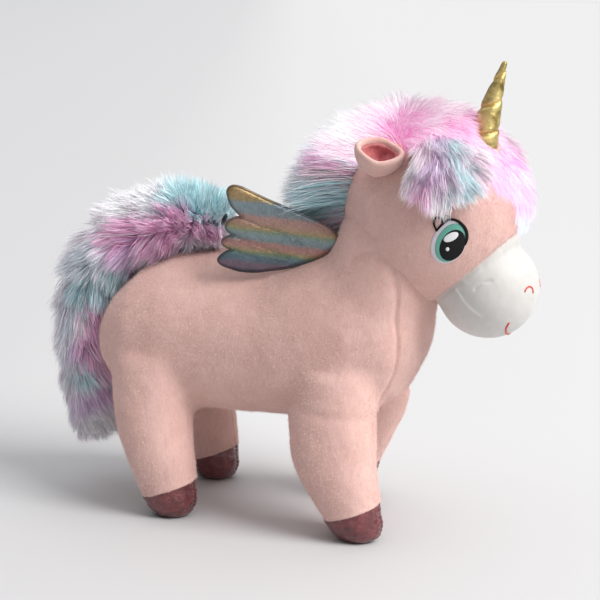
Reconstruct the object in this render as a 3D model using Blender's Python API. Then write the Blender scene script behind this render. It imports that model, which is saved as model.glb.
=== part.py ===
"""A standing plush unicorn: sewn pile-fabric body, ball head with a smooth muzzle, padded wings,
cupped ears, wrapped horn, long-pile mane and tail, and leatherette hooves.

Frame: the unicorn faces -Y, its right side is -X, +Z is up, and it stands on z = 0.
Dimensions below are millimetres; MM turns them into the scene's metres.
"""

import math

import bmesh
import bpy
from mathutils import Matrix, Vector
from mathutils.bvhtree import BVHTree

MM = 0.001
ACROSS = Vector((1, 0, 0))

# Sewn layers.
GAP = 0.3
HALF_GAP = GAP / 2
PLUSH = 2.2
SOLE = 2.0
FELT = 0.7
FILL_GAP = 0.6

# Head: a ball wider fore and aft than across, with a muzzle bulb ahead of a tilted seam.
HEAD = Vector((0, -118, 247))
HEAD_RADII = Vector((58, 68, 68))
MUZZLE = Vector((0, -160.5, 192.5))
MUZZLE_RADII = Vector((38, 39, 39))
MUZZLE_SEAM_TOP = Vector((0, -178, 229))
MUZZLE_SEAM_LOW = Vector((0, -121.5, 179))
HEAD_GUSSET_HALF = 15
HEAD_GUSSET_LOW = 226
NOD_LIMIT = 8
SOCKET_GAP = 1.2
# The room swept clear of the neck: the muzzle and the fillet between it and the ball.
SWEEP_STEPS = 4
MUZZLE_ROOM = 2.4
THROAT = Vector((0, -141, 217))
THROAT_RADII = Vector((46, 49, 49))

# Torso sections from chest to rump: (y, top z, bottom z, half width).
TORSO = (
    (-118, 183, 157, 12),
    (-112, 205, 132, 35),
    (-97, 219, 103, 50),
    (-70, 226, 88, 60),
    (-35, 218, 82, 62),
    (5, 204, 80, 61),
    (50, 206, 79, 62),
    (85, 206, 79, 63),
    (115, 192, 84, 60),
    (136, 174, 95, 50),
    (149, 156, 109, 34),
    (155, 141, 122, 14),
)
# Neck sections from the shoulders into the head: (centre, half width, half depth, lean in degrees).
NECK = (
    (Vector((0, -60, 160)), 58, 52, 16),
    (Vector((0, -80, 196)), 55, 45, 20),
    (Vector((0, -90, 225)), 51, 43, 22),
    (Vector((0, -104, 256)), 44, 38, 22),
)

# Legs. A section is (z, y of its centre, half length, half width, x of its centre).
LEG_TOP = 128
FRONT_LEG = (
    (-5, -77, 8, 7, 48),
    (0, -77, 10, 9, 48),
    (4, -76, 16.5, 15, 48),
    (11, -74, 21.5, 20, 48),
    (21, -70, 25, 22, 48),
    (34, -65, 29, 24, 48),
    (50, -59.5, 32.5, 26, 48),
    (68, -55.5, 34.5, 28, 46),
    (90, -53.5, 35, 29, 42),
    (LEG_TOP, -54, 34, 28, 36),
)
STEPPED_BACK_LEG = (
    (-5, -38, 8, 7, 48),
    (0, -38, 10, 9, 48),
    (4, -37.5, 16.5, 15, 48),
    (11, -37, 21, 20, 48),
    (21, -36, 24, 22, 48),
    (34, -36.5, 27.5, 24, 48),
    (50, -41, 31.5, 26, 48),
    (68, -47.5, 34.5, 28, 46),
    (90, -52.5, 36.5, 29, 42),
    (LEG_TOP, -54, 34, 28, 36),
)
HIND_LEG = (
    (-5, 78, 8, 7, 48),
    (0, 78, 10, 9, 48),
    (4, 78.5, 16.5, 15, 48),
    (11, 79.5, 21, 20, 48),
    (21, 82, 24, 22, 48),
    (34, 85, 26.5, 24, 48),
    (50, 89, 29, 26, 48),
    (68, 93.5, 31, 28, 46),
    (90, 97, 33, 30, 42),
    (LEG_TOP, 96, 36, 30, 36),
)
# Side, sections and shift forward or back of each leg.
LEGS = {
    "front_right": (-1, FRONT_LEG, 0),
    "front_left": (1, STEPPED_BACK_LEG, 0),
    "hind_right": (-1, HIND_LEG, 0),
    "hind_left": (1, HIND_LEG, 5),
}
HOOF_SEAM_Z = 21
HOOF_SEAM_TILT = 20
# The hoof's bowl: (height, share of the leg section's size), the last one well above the seam.
HOOF_BOWL = ((0, 0.42), (1.5, 0.56), (4, 0.68), (8, 0.79), (13, 0.87), (HOOF_SEAM_Z, 0.93), (38, 0.93))
HOOF_FILL_INSET = 5.0
LEG_SEAM_X = 46
GUSSET_TOP = 93
CHEST_HALF_LOW = 32
CHEST_HALF_TOP = 42
CHEST_BACK = -68

# Wing outline in its own plane: along the wing and up from the front end of its sewn edge.
WING_ORIGIN = Vector((-27, -57, 224))
WING_ALONG = Vector((-0.22, 0.96, 0))
WING_UP_HINT = Vector((-0.12, 0, 1))
WING_TOP_EDGE = ((3, 1), (12.5, 11.5), (35, 22), (58, 32), (76, 41))
WING_FEATHERS = (
    ((76, 41), (82, 42.3), (86, 39.5), (85.6, 34), (83, 27), (75, 18)),
    ((75, 18), (81, 17.8), (85.8, 15.5), (88, 11.8), (87, 8.2), (82, 4.5)),
    ((82, 4.5), (87.5, 3), (91, 0.5), (90.5, -3), (87, -5), (83, -7)),
    ((83, -7), (88.7, -9), (93.2, -12.3), (94.6, -15.5), (90.8, -19), (80, -23)),
)
WING_LOW_EDGE = ((80, -23), (69, -24), (56.6, -22.7), (40.7, -19.9), (22.3, -13.5), (10, -6), (3, 1))
WING_SEAM = ((3, -2), (24, -17))
WING_FABRIC = 0.8
WING_FOAM = 1.8
WING_THICKNESS = 2 * WING_FABRIC + WING_FOAM + 2 * GAP
WING_CAMBER = 9.0
# The left wing rests further out from the back than the right one, in degrees about its seam.
LEFT_WING_SPLAY = 16
WING_SPAN = 95.0
WING_BODY_GAP = 0.8

# Ear: a scoop lying back from its base, open upwards and outwards.
EAR_BASE = Vector((-47, -107, 287))
EAR_TIP = Vector((-50.5, -75, 296))
EAR_OPENING = Vector((-0.45, 0.1, 0.89))
EAR_HALF_WIDTH = 15
EAR_DEPTH = 15.5
EAR_WALL = 1.6
EAR_LINING = 1.1
EAR_SEAT_GAP = 1.5
EAR_HINGE = Vector((-45.6, -107.1, 284.2))

# Horn: a cone on the forehead, leaning forward, bound by a thread in a spiral groove.
HORN_BASE = Vector((0, -152.5, 296))
HORN_TIP = Vector((0, -168.8, 358.3))
HORN_RADIUS = 12.6
HORN_TIP_RADIUS = 1.6
HORN_TURNS = 3
HORN_BEND = 3.0
HORN_GROOVE = 1.3
HORN_WALL = 1.0
HORN_SEAT_GAP = 0.5
THREAD_RADIUS = 0.45
THREAD_STEPS = 12
THREAD_GAP = 0.8
THREAD_START = 8

# Eye, in a frame on the cheek: (forward, up) of each oval's centre, half sizes, lean in degrees.
EYE_CENTRE = Vector((-52, -144.9, 233.4))
EYE_WHITE = ((0.2, 0.3), (12.0, 16.8), 20)
EYE_IRIS = ((0.8, -0.6), (10.4, 15.2), 20)
EYE_PUPIL = ((1.7, -1.5), (8.5, 12.1), 20)
EYE_SHINE = ((2.8, 6.0), (2.7, 5.6), 66)
EYE_LINE_WIDTH = 1.4
LINE_START = -15
LINE_END = 141
LASH_END = 167
LASH = ((-7.0, 18.2), (-9.4, 19.4), (-11.4, 17.0), (-11.6, 13.0))
NOSTRIL = (-14.5, -197.5, 194.5)
NOSTRIL_HALF = 4.8
NOSTRIL_RISE = 5.0
STITCH_RADIUS = 0.7
STITCH_LIFT = 0.8
MOUTH = ((-24, -184, 171), (-20, -180, 165.5), (-11, -178, 161), (0, -177, 159.5))

# Long-pile fabric. Tail sections: (y, z, half depth, half width).
TAIL = (
    (48, 229, 9, 10),
    (60, 230, 21, 23),
    (84, 228, 29, 31),
    (110, 223, 33, 34),
    (136, 212, 32, 35),
    (158, 189, 31, 34),
    (171, 161, 28, 33),
    (175.5, 133, 24, 31),
    (174.5, 108, 24, 30),
    (172, 82, 22.5, 28),
    (170, 56, 17, 22),
    (168.5, 38, 6, 8),
)
TAIL_CORE = ((84, 211), (88, 218), (106, 225), (134, 212), (156, 187), (170, 158), (175, 130), (173, 72))
TAIL_CORE_RADIUS = 8
TAIL_HINGE = Vector((0, 85, 212))
TAIL_SWING_LIMIT = 20
TAIL_RUMP_GAP = 1.4
# Mane: its outer radius about the head's centre at angles from straight ahead up over the crown.
CROWN_MANE = (
    (0, 72.5),
    (12, 75),
    (24, 79),
    (38, 82),
    (56, 80),
    (72, 82),
    (90, 86),
    (108, 88),
    (126, 95),
    (139, 102),
)
NECK_MANE = ((148, 107), (160, 113), (172, 117), (181, 114), (189, 104), (195, 92))
MANE_HALF_WIDTH = (
    (0, 12),
    (12, 22),
    (30, 31),
    (60, 31),
    (100, 29),
    (150, 32),
    (175, 31),
    (189, 25),
    (195, 14),
)
MANE_LIFT = 1.5
FORELOCK_CENTRE = Vector((-47, -139, 274))
FORELOCK_OUTLINE = ((-1, 17), (6, 12), (11, 2), (8, -9), (0, -17), (-6, -16), (-10, -7), (-12, 5), (-8, 14))
FORELOCK_DOME = 6.0


# Geometry helpers ---------------------------------------------------------------------------------


def clear_scene():
    for obj in list(bpy.data.objects):
        bpy.data.objects.remove(obj, do_unlink=True)


def material(name, colour, roughness, metallic=0.0):
    made = bpy.data.materials.new(name)
    made.use_nodes = True
    shader = made.node_tree.nodes["Principled BSDF"]
    shader.inputs["Base Color"].default_value = (*colour, 1.0)
    shader.inputs["Roughness"].default_value = roughness
    shader.inputs["Metallic"].default_value = metallic
    made.diffuse_color = (*colour, 1.0)
    return made


def mesh_of(bm, name):
    """Closes off a bmesh: normals out, millimetres to metres, and a mesh datablock."""
    bmesh.ops.recalc_face_normals(bm, faces=bm.faces)
    bmesh.ops.scale(bm, vec=(MM, MM, MM), verts=bm.verts)
    mesh = bpy.data.meshes.new(name)
    bm.to_mesh(mesh)
    bm.free()
    return mesh


def add_object(name, mesh, look=None):
    obj = bpy.data.objects.new(name, mesh)
    bpy.context.scene.collection.objects.link(obj)
    if look is not None:
        mesh.materials.clear()
        mesh.materials.append(look)
    return obj


def helper(name, mesh):
    """An object that only shapes others: left out of the model."""
    obj = add_object(name, mesh)
    obj.hide_render = True
    obj.display_type = "WIRE"
    return obj


def evaluated_mesh(obj):
    bpy.context.view_layer.update()
    graph = bpy.context.evaluated_depsgraph_get()
    return bpy.data.meshes.new_from_object(obj.evaluated_get(graph))


def smooth(obj, sharp_degrees=40):
    obj.data.shade_smooth()
    obj.data.set_sharp_from_angle(angle=math.radians(sharp_degrees))


def oval_ring(centre, across, along, half_across, half_along, count, power=2.3):
    """Points of a superellipse around centre, in the plane of the two unit directions."""
    ring = []
    for step in range(count):
        turn = 2 * math.pi * step / count
        c, s = math.cos(turn), math.sin(turn)
        u = math.copysign(abs(c) ** (2 / power), c) * half_across
        v = math.copysign(abs(s) ** (2 / power), s) * half_along
        ring.append(centre + across * u + along * v)
    return ring


def loft(rings):
    """A closed bmesh through rings with equal point counts, capped at both ends."""
    bm = bmesh.new()
    rows = [[bm.verts.new(point) for point in ring] for ring in rings]
    count = len(rows[0])
    for low, high in zip(rows, rows[1:]):
        for i in range(count):
            j = (i + 1) % count
            bm.faces.new((low[i], low[j], high[j], high[i]))
    bm.faces.new(rows[0])
    bm.faces.new(rows[-1])
    return bm


def between(table, at):
    """Straight-line value of a table of (place, value) pairs."""
    for (a, low), (b, high) in zip(table, table[1:]):
        if at <= b:
            return low + (high - low) * max(0.0, at - a) / (b - a)
    return table[-1][1]


def ball(centre, radii, segments=40, rings=24):
    """An ellipsoid whose poles lie on its X axis."""
    bm = bmesh.new()
    bmesh.ops.create_uvsphere(bm, u_segments=segments, v_segments=rings, radius=1)
    bmesh.ops.rotate(bm, verts=bm.verts, matrix=Matrix.Rotation(math.pi / 2, 3, "Y"))
    bmesh.ops.scale(bm, vec=radii, verts=bm.verts)
    bmesh.ops.translate(bm, vec=centre, verts=bm.verts)
    return bm


def grown_ball(centre, radii, distance):
    return ball(centre, radii + Vector((distance, distance, distance)))


def box(low, high):
    bm = bmesh.new()
    bmesh.ops.create_cube(bm, size=1)
    low, high = Vector(low), Vector(high)
    bmesh.ops.scale(bm, vec=high - low, verts=bm.verts)
    bmesh.ops.translate(bm, vec=(low + high) / 2, verts=bm.verts)
    return bm


def half_space(point, normal, size=400):
    """A large block whose one face passes through point, on the side that normal points to."""
    bm = box((-size / 2, -size / 2, 0), (size / 2, size / 2, size))
    turn = Vector(normal).to_track_quat("Z", "Y").to_matrix()
    bmesh.ops.rotate(bm, verts=bm.verts, matrix=turn)
    bmesh.ops.translate(bm, vec=point, verts=bm.verts)
    return bm


def boolean(obj, operation, cutter):
    cut = obj.modifiers.new(cutter.name, "BOOLEAN")
    cut.operation = operation
    cut.solver = "EXACT"
    cut.object = cutter


def keep_in(obj, cutter):
    boolean(obj, "INTERSECT", cutter)


def cut_away(obj, cutter):
    boolean(obj, "DIFFERENCE", cutter)


def soft_form(name, bmeshes, voxel, rounds, faces):
    """Several closed shapes melted into one smooth closed surface of about this many even quads."""
    whole = bpy.data.meshes.new(name)
    joined = bmesh.new()
    for bm in bmeshes:
        part = mesh_of(bm, "part_of_" + name)
        joined.from_mesh(part)
        bpy.data.meshes.remove(part)
    joined.to_mesh(whole)
    joined.free()
    source = helper(name + "_source", whole)
    remesh = source.modifiers.new("melt", "REMESH")
    remesh.mode = "VOXEL"
    remesh.voxel_size = voxel * MM
    relax = source.modifiers.new("relax", "SMOOTH")
    relax.factor = 0.5
    relax.iterations = rounds
    even = add_object(name, evaluated_mesh(source))
    bpy.data.objects.remove(source)
    bpy.context.view_layer.objects.active = even
    bpy.ops.object.select_all(action="DESELECT")
    even.select_set(True)
    bpy.ops.object.quadriflow_remesh(target_faces=faces, seed=0)
    mesh = even.data
    bpy.data.objects.remove(even)
    split = bmesh.new()
    split.from_mesh(mesh)
    bmesh.ops.triangulate(split, faces=split.faces)
    bmesh.ops.recalc_face_normals(split, faces=split.faces)
    split.to_mesh(mesh)
    split.free()
    return mesh


def inset(mesh, distance):
    """A copy of the mesh with each point moved inwards along its normal."""
    made = mesh.copy()
    for vertex, source in zip(made.vertices, mesh.vertices):
        vertex.co = source.co - source.normal * (distance * MM)
    made.update()
    return made


def tilt_x(vector, degrees):
    return Matrix.Rotation(math.radians(degrees), 3, "X") @ Vector(vector)


def mirrored(mesh):
    """The mesh's mirror image across x = 0, still facing out."""
    bm = bmesh.new()
    bm.from_mesh(mesh)
    bmesh.ops.scale(bm, vec=(-1, 1, 1), verts=bm.verts)
    bmesh.ops.reverse_faces(bm, faces=bm.faces)
    made = bpy.data.meshes.new(mesh.name + "_mirrored")
    bm.to_mesh(made)
    bm.free()
    return made


# Forms that the sewn covers follow --------------------------------------------------------------


def torso_rings():
    rings = []
    for y, top, low, half_width in TORSO:
        centre = Vector((0, y, (top + low) / 2))
        rings.append(oval_ring(centre, ACROSS, Vector((0, 0, 1)), half_width, (top - low) / 2, 28))
    return rings


def neck_rings():
    rings = []
    for centre, half_width, half_depth, lean in NECK:
        along = tilt_x((0, 1, 0), lean)
        rings.append(oval_ring(centre, ACROSS, along, half_width, half_depth, 24))
    return rings


def leg_rings(side, sections, shift):
    rings = []
    for z, y, half_length, half_width, x in sections:
        centre = Vector((side * x, y + shift, z))
        rings.append(oval_ring(centre, ACROSS, Vector((0, 1, 0)), half_width, half_length, 20, 2.1))
    return rings


def body_form():
    shapes = [loft(torso_rings()), loft(neck_rings())]
    for leg in LEGS.values():
        shapes.append(loft(leg_rings(*leg)))
    return soft_form("body_form", shapes, 4.0, 10, 600)


def head_form():
    shapes = [ball(HEAD, HEAD_RADII), ball(MUZZLE, MUZZLE_RADII)]
    return soft_form("head_form", shapes, 3.0, 6, 290)


def muzzle_plane(offset):
    """A point and normal on the pile-to-muzzle seam, moved forward by offset."""
    along = (MUZZLE_SEAM_LOW - MUZZLE_SEAM_TOP).normalized()
    normal = along.cross(ACROSS)
    if normal.y > 0:
        normal.negate()
    return MUZZLE_SEAM_TOP + normal * offset, normal


def head_sweep():
    """The room the head needs at every nod angle, for the neck to keep clear of."""
    shapes = [grown_ball(HEAD, HEAD_RADII, SOCKET_GAP)]
    for step in range(SWEEP_STEPS + 1):
        degrees = NOD_LIMIT * (2 * step / SWEEP_STEPS - 1)
        for centre, radii in ((MUZZLE, MUZZLE_RADII), (THROAT, THROAT_RADII)):
            shapes.append(grown_ball(HEAD + tilt_x(centre - HEAD, degrees), radii, MUZZLE_ROOM))
    return shapes


# Body ---------------------------------------------------------------------------------------------


def leg_size(sections, height):
    """The hoof's (y, half length, half width, x) at a height: a share of the leg's, at the seam or above."""
    share = between(HOOF_BOWL, height)
    sizes = []
    for column in (1, 2, 3, 4):
        at = height if column == 1 else max(height, HOOF_SEAM_Z)
        sizes.append(between([(row[0], row[column]) for row in sections], at))
    y, half_length, half_width, x = sizes
    return y, half_length * share, half_width * share, x


def hoof_solid(side, sections, shift, shrink, low):
    """The end of a leg, drawn in by shrink, from height low to well above the seam."""
    heights = [low] + [height for height, _ in HOOF_BOWL if height > low]
    rings = []
    for height in heights:
        y, half_length, half_width, x = leg_size(sections, height)
        centre = Vector((side * x, y + shift, height))
        half_sizes = (half_width - shrink, half_length - shrink)
        rings.append(oval_ring(centre, ACROSS, Vector((0, 1, 0)), *half_sizes, 14, 2.1))
    return loft(rings)


def hoof_block(name, side, sections, shift, offset):
    """A block around one hoof, up to its tilted seam moved by offset, standing on the floor."""
    at = min(sections, key=lambda section: abs(section[0] - HOOF_SEAM_Z))
    centre = Vector((side * at[4], at[1] + shift, HOOF_SEAM_Z))
    normal = tilt_x((0, 0, 1), -HOOF_SEAM_TILT)
    bm = box((-36, -40, -60), (36, 40, offset))
    bmesh.ops.rotate(bm, verts=bm.verts, matrix=normal.to_track_quat("Z", "Y").to_matrix())
    bmesh.ops.translate(bm, vec=centre, verts=bm.verts)
    return helper(name, mesh_of(bm, name))


def chest_outline(grow):
    """The chest panel's block: a bib, wider at the throat than between the legs."""
    rings = []
    for z, half in ((GUSSET_TOP + HALF_GAP - grow, CHEST_HALF_LOW), (260, CHEST_HALF_TOP + 14)):
        half += grow
        front, back = -150, CHEST_BACK + grow
        rings.append([Vector((half * a, b, z)) for a, b in ((-1, front), (1, front), (1, back), (-1, back))])
    return loft(rings)


def gusset_outline(grow):
    half = LEG_SEAM_X + grow
    return box((-half, -200, -20), (half, 200, GUSSET_TOP + grow))


def build_body(looks):
    outer = body_form()
    inner = helper("body_lining", inset(outer, PLUSH))
    core = inset(outer, PLUSH + FILL_GAP)
    sweep = []
    for index, bm in enumerate(head_sweep()):
        sweep.append(helper(f"head_sweep_{index}", mesh_of(bm, "head_sweep")))
    hooves, hoof_rooms = {}, {}
    for name, leg in LEGS.items():
        hooves[name] = hoof_block("hoof_block_" + name, *leg, -HALF_GAP)
        hoof_rooms[name] = hoof_block("hoof_room_" + name, *leg, HALF_GAP)
    gusset_in = helper("gusset_block", mesh_of(gusset_outline(-HALF_GAP), "gusset_block"))
    gusset_out = helper("gusset_room", mesh_of(gusset_outline(HALF_GAP), "gusset_room"))
    chest_in = helper("chest_block", mesh_of(chest_outline(-HALF_GAP), "chest_block"))
    chest_out = helper("chest_room", mesh_of(chest_outline(HALF_GAP), "chest_room"))

    def cover(name, look):
        return add_object(name, outer.copy(), look)

    for side_name, side in (("right", -1), ("left", 1)):
        panel = cover(f"side_panel_{side_name}", looks["pink_plush"])
        low = (HALF_GAP, -250, -10) if side > 0 else (-150, -250, -10)
        high = (150, 250, 400) if side > 0 else (-HALF_GAP, 250, 400)
        keep_in(panel, helper(f"{side_name}_half", mesh_of(box(low, high), "half")))
        cut_away(panel, gusset_out)
        cut_away(panel, chest_out)
        for name in LEGS:
            if name.endswith(side_name):
                cut_away(panel, hoof_rooms[name])
    chest = cover("chest_panel", looks["pink_plush"])
    keep_in(chest, chest_in)
    gusset = cover("belly_gusset", looks["pink_plush"])
    keep_in(gusset, gusset_in)
    for room in hoof_rooms.values():
        cut_away(gusset, room)
    for name in ("side_panel_right", "side_panel_left", "chest_panel"):
        for room in sweep:
            cut_away(bpy.data.objects[name], room)
    for name in ("side_panel_right", "side_panel_left", "chest_panel", "belly_gusset"):
        cut_away(bpy.data.objects[name], inner)

    above_sole = helper("above_sole", mesh_of(box((-99, -200, SOLE + GAP), (99, 200, 80)), "above_sole"))
    in_sole = helper("in_sole", mesh_of(box((-99, -200, 0), (99, 200, SOLE)), "in_sole"))
    for name, block in hooves.items():
        leg = LEGS[name]
        whole = mesh_of(hoof_solid(*leg, 0, 0), "hoof_" + name)
        lining = helper("hoof_lining_" + name, mesh_of(hoof_solid(*leg, PLUSH, 0), "hoof_lining"))
        hoof = add_object("hoof_cover_" + name, whole, looks["maroon_leatherette"])
        keep_in(hoof, block)
        keep_in(hoof, above_sole)
        cut_away(hoof, lining)
        sole = add_object("hoof_sole_" + name, whole.copy(), looks["maroon_leatherette"])
        keep_in(sole, in_sole)
    stuffing = add_object("body_stuffing", core, looks["polyester_fill"])
    keep_in(stuffing, inner)
    for name, room in hoof_rooms.items():
        cut_away(stuffing, room)
        fill = hoof_solid(*LEGS[name], HOOF_FILL_INSET, SOLE + GAP)
        boolean(stuffing, "UNION", helper("hoof_fill_" + name, mesh_of(fill, "hoof_fill")))
    for room in sweep:
        cut_away(stuffing, room)
    return outer


# Head ---------------------------------------------------------------------------------------------


def build_head(looks):
    outer = head_form()
    inner = helper("head_lining", inset(outer, PLUSH))
    core = inset(outer, PLUSH + FILL_GAP)
    front = helper("muzzle_side", mesh_of(half_space(*muzzle_plane(HALF_GAP)), "muzzle_side"))
    point, normal = muzzle_plane(-HALF_GAP)
    back = helper("skull_side", mesh_of(half_space(point, -normal), "skull_side"))
    strip = (HEAD_GUSSET_HALF - HALF_GAP, HEAD_GUSSET_LOW + HALF_GAP)
    room = (HEAD_GUSSET_HALF + HALF_GAP, HEAD_GUSSET_LOW - HALF_GAP)
    strips = []
    for name, (half, low) in (("crown_block", strip), ("crown_room", room)):
        strips.append(helper(name, mesh_of(box((-half, -250, low), (half, 0, 400)), name)))
    for side_name, low, high in (("right", -150, -HALF_GAP), ("left", HALF_GAP, 150)):
        panel = add_object(f"head_panel_{side_name}", outer.copy(), looks["pink_plush"])
        half = mesh_of(box((low, -250, 100), (high, 0, 400)), "half")
        keep_in(panel, helper(f"head_{side_name}_half", half))
        keep_in(panel, back)
        cut_away(panel, strips[1])
        cut_away(panel, inner)
    gusset = add_object("head_gusset", outer.copy(), looks["pink_plush"])
    keep_in(gusset, strips[0])
    keep_in(gusset, back)
    cut_away(gusset, inner)
    muzzle = add_object("muzzle_cover", outer.copy(), looks["white_velour"])
    keep_in(muzzle, front)
    cut_away(muzzle, inner)
    skull_fill = add_object("head_stuffing", core, looks["polyester_fill"])
    keep_in(skull_fill, back)
    muzzle_fill = add_object("muzzle_stuffing", core.copy(), looks["polyester_fill"])
    keep_in(muzzle_fill, front)
    return outer


def surface_frame(centre):
    """Forward and up directions on the head's cheek, and the outward normal, at a point."""
    rel = centre - HEAD
    normal = Vector((rel.x / HEAD_RADII.x**2, rel.y / HEAD_RADII.y**2, rel.z / HEAD_RADII.z**2)).normalized()
    up = (Vector((0, 0, 1)) - normal * normal.z).normalized()
    return up.cross(normal), up, normal


def oval_point(spec, turn, grow=0.0):
    """The point (forward, up) of a leaning oval at a turn in radians."""
    (f0, u0), (half_f, half_u), lean = spec
    lean = math.radians(lean)
    a, b = (half_f + grow) * math.cos(turn), (half_u + grow) * math.sin(turn)
    return f0 + a * math.cos(lean) + b * math.sin(lean), u0 - a * math.sin(lean) + b * math.cos(lean)


def oval(spec, count, grow=0.0):
    return [oval_point(spec, 2 * math.pi * step / count, grow) for step in range(count)]


def surface_tree(form):
    """The form's surface in millimetres, for laying stitching on it."""
    points = [vertex.co / MM for vertex in form.vertices]
    return BVHTree.FromPolygons(points, [tuple(face.vertices) for face in form.polygons])


class Cheek:
    """Lays flat stitched shapes onto the head's surface."""

    def __init__(self, form, centre):
        self.tree = surface_tree(form)
        self.centre = centre
        self.forward, self.up, self.normal = surface_frame(centre)

    def point(self, place, lift):
        start = self.centre + self.forward * place[0] + self.up * place[1] + self.normal * 40
        hit = self.tree.ray_cast(start, -self.normal)[0]
        return hit + self.normal * lift

    def patch(self, rows, lift, thickness, closed_centre, dome=0.0):
        """A closed layer between rows of points; the last row is the centre or the rim of a hole."""
        bm = bmesh.new()
        layers = []
        for level in (0, 1):
            layer = []
            for index, row in enumerate(rows):
                share = index / (len(rows) - 1)
                height = lift + level * (thickness + dome * math.sqrt(1 - (1 - share) ** 2))
                layer.append([bm.verts.new(self.point(place, height)) for place in row])
            layers.append(layer)
        for layer in layers:
            for outer, inner in zip(layer, layer[1:]):
                self.join(bm, outer, inner)
        self.join(bm, layers[0][0], layers[1][0])
        if closed_centre:
            for layer in layers:
                bm.faces.new(layer[-1])
        else:
            self.join(bm, layers[0][-1], layers[1][-1])
        return bm

    @staticmethod
    def join(bm, first, second):
        for i in range(len(first)):
            j = (i + 1) % len(first)
            bm.faces.new((first[i], first[j], second[j], second[i]))


def shrunk(points, factor):
    f0 = sum(p[0] for p in points) / len(points)
    u0 = sum(p[1] for p in points) / len(points)
    return [(f0 + (f - f0) * factor, u0 + (u - u0) * factor) for f, u in points]


def lash_line(cheek, lift, thickness):
    """The black line along the oval's upper front edge, ending in a pointed lash behind."""
    outer, inner = [], []
    steps = 12
    for step in range(steps + 1):
        turn = math.radians(LINE_START + (LINE_END - LINE_START) * step / steps)
        outer.append(oval_point(EYE_WHITE, turn, GAP + EYE_LINE_WIDTH))
        inner.append(oval_point(EYE_WHITE, turn, GAP))
    for index, place in enumerate(LASH + (None,)):
        turn = math.radians(LINE_END + (LASH_END - LINE_END) * (index + 1) / (len(LASH) + 1))
        outer.append(place or oval_point(EYE_WHITE, turn, GAP + EYE_LINE_WIDTH))
        inner.append(oval_point(EYE_WHITE, turn, GAP))
    rings = []
    for out, into in zip(outer, inner):
        low, high = lift, lift + thickness
        corners = ((out, low), (into, low), (into, high), (out, high))
        rings.append([cheek.point(*corner) for corner in corners])
    return loft(rings)


def build_eye(form, side_name, looks):
    cheek = Cheek(form, EYE_CENTRE)
    lift, step = 0.6, FELT
    count = 22
    rows = {
        "white": [oval(EYE_WHITE, count), oval(EYE_IRIS, count, GAP)],
        "iris": [oval(EYE_IRIS, count), oval(EYE_PUPIL, count, GAP)],
    }
    pupil = oval(EYE_PUPIL, count)
    meshes = {
        "white": mesh_of(cheek.patch(rows["white"], lift, step, False), "eye_white"),
        "iris": mesh_of(cheek.patch(rows["iris"], lift, step, False), "eye_iris"),
        "pupil": mesh_of(cheek.patch([pupil, shrunk(pupil, 0.5)], lift, step, True), "eye_pupil"),
    }
    shine = oval(EYE_SHINE, 16)
    meshes["highlight"] = mesh_of(
        cheek.patch([shine, shrunk(shine, 0.5)], lift + step + GAP, step / 2, True), "eye_highlight"
    )
    meshes["lash_line"] = mesh_of(lash_line(cheek, lift, step), "eye_lash_line")
    for part, mesh in meshes.items():
        if side_name == "left":
            mesh = mirrored(mesh)
        add_object(f"eye_{part}_{side_name}", mesh, looks["eye_" + part])


def stitch(form, places, radius):
    """A thread laid on the muzzle through places, each moved along the line from the muzzle's centre."""
    tree = surface_tree(form)
    points = []
    for place in places:
        aim = (Vector(place) - MUZZLE).normalized()
        points.append(tree.ray_cast(MUZZLE + aim * 80, -aim)[0] + aim * (radius + STITCH_LIFT))
    return tube(points, radius, 6, Vector((0, 1, 0)))


def nostril_places():
    """An arch, open below."""
    places = []
    aim = (Vector(NOSTRIL) - MUZZLE).normalized()
    up = (Vector((0, 0, 1)) - aim * aim.z).normalized()
    across = up.cross(aim)
    for step in range(9):
        turn = math.pi * step / 8
        aside = across * (NOSTRIL_HALF * math.cos(turn))
        places.append(Vector(NOSTRIL) + aside + up * (NOSTRIL_RISE * math.sin(turn)))
    return places


def build_face_stitches(form, looks):
    right = mesh_of(stitch(form, nostril_places(), STITCH_RADIUS), "nostril_stitch")
    add_object("nostril_stitch_left", mirrored(right), looks["coral_thread"])
    add_object("nostril_stitch_right", right, looks["coral_thread"])
    near = [Vector(place) for place in MOUTH]
    far = [Vector((-place.x, place.y, place.z)) for place in reversed(near[:-1])]
    run = smooth_run(near + far, 3) + far[-1:]
    mouth = mesh_of(stitch(form, run, STITCH_RADIUS), "mouth_stitch")
    add_object("mouth_stitch", mouth, looks["coral_thread"])


# Horn ---------------------------------------------------------------------------------------------


def horn_profile(share, turn, inset_by):
    """Radius of the horn at a share of its height, with a spiral groove."""
    radius = HORN_TIP_RADIUS + (HORN_RADIUS - HORN_TIP_RADIUS) * (1 - share) ** 0.9
    phase = (share * HORN_TURNS - turn / (2 * math.pi)) % 1.0
    groove = HORN_GROOVE * math.exp(-((min(phase, 1 - phase) / 0.11) ** 2))
    return max(0.35, radius - groove * (1 - 0.6 * share) - inset_by)


def horn_frame():
    axis = (HORN_TIP - HORN_BASE).normalized()
    across = ACROSS
    return axis, across, axis.cross(across)


def horn_point(share, turn, radius):
    axis, across, ahead = horn_frame()
    length = (HORN_TIP - HORN_BASE).length
    bend = ahead * (HORN_BEND * share * (1 - share))
    outwards = across * math.cos(turn) + ahead * math.sin(turn)
    return HORN_BASE + axis * (length * share) + bend + outwards * radius


def horn_solid(inset_by, low_share, high_share, rows, count):
    rings = []
    for row in range(rows + 1):
        share = low_share + (high_share - low_share) * row / rows
        turns = [2 * math.pi * i / count for i in range(count)]
        rings.append([horn_point(share, t, horn_profile(share, t, inset_by)) for t in turns])
    return loft(rings)


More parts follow.
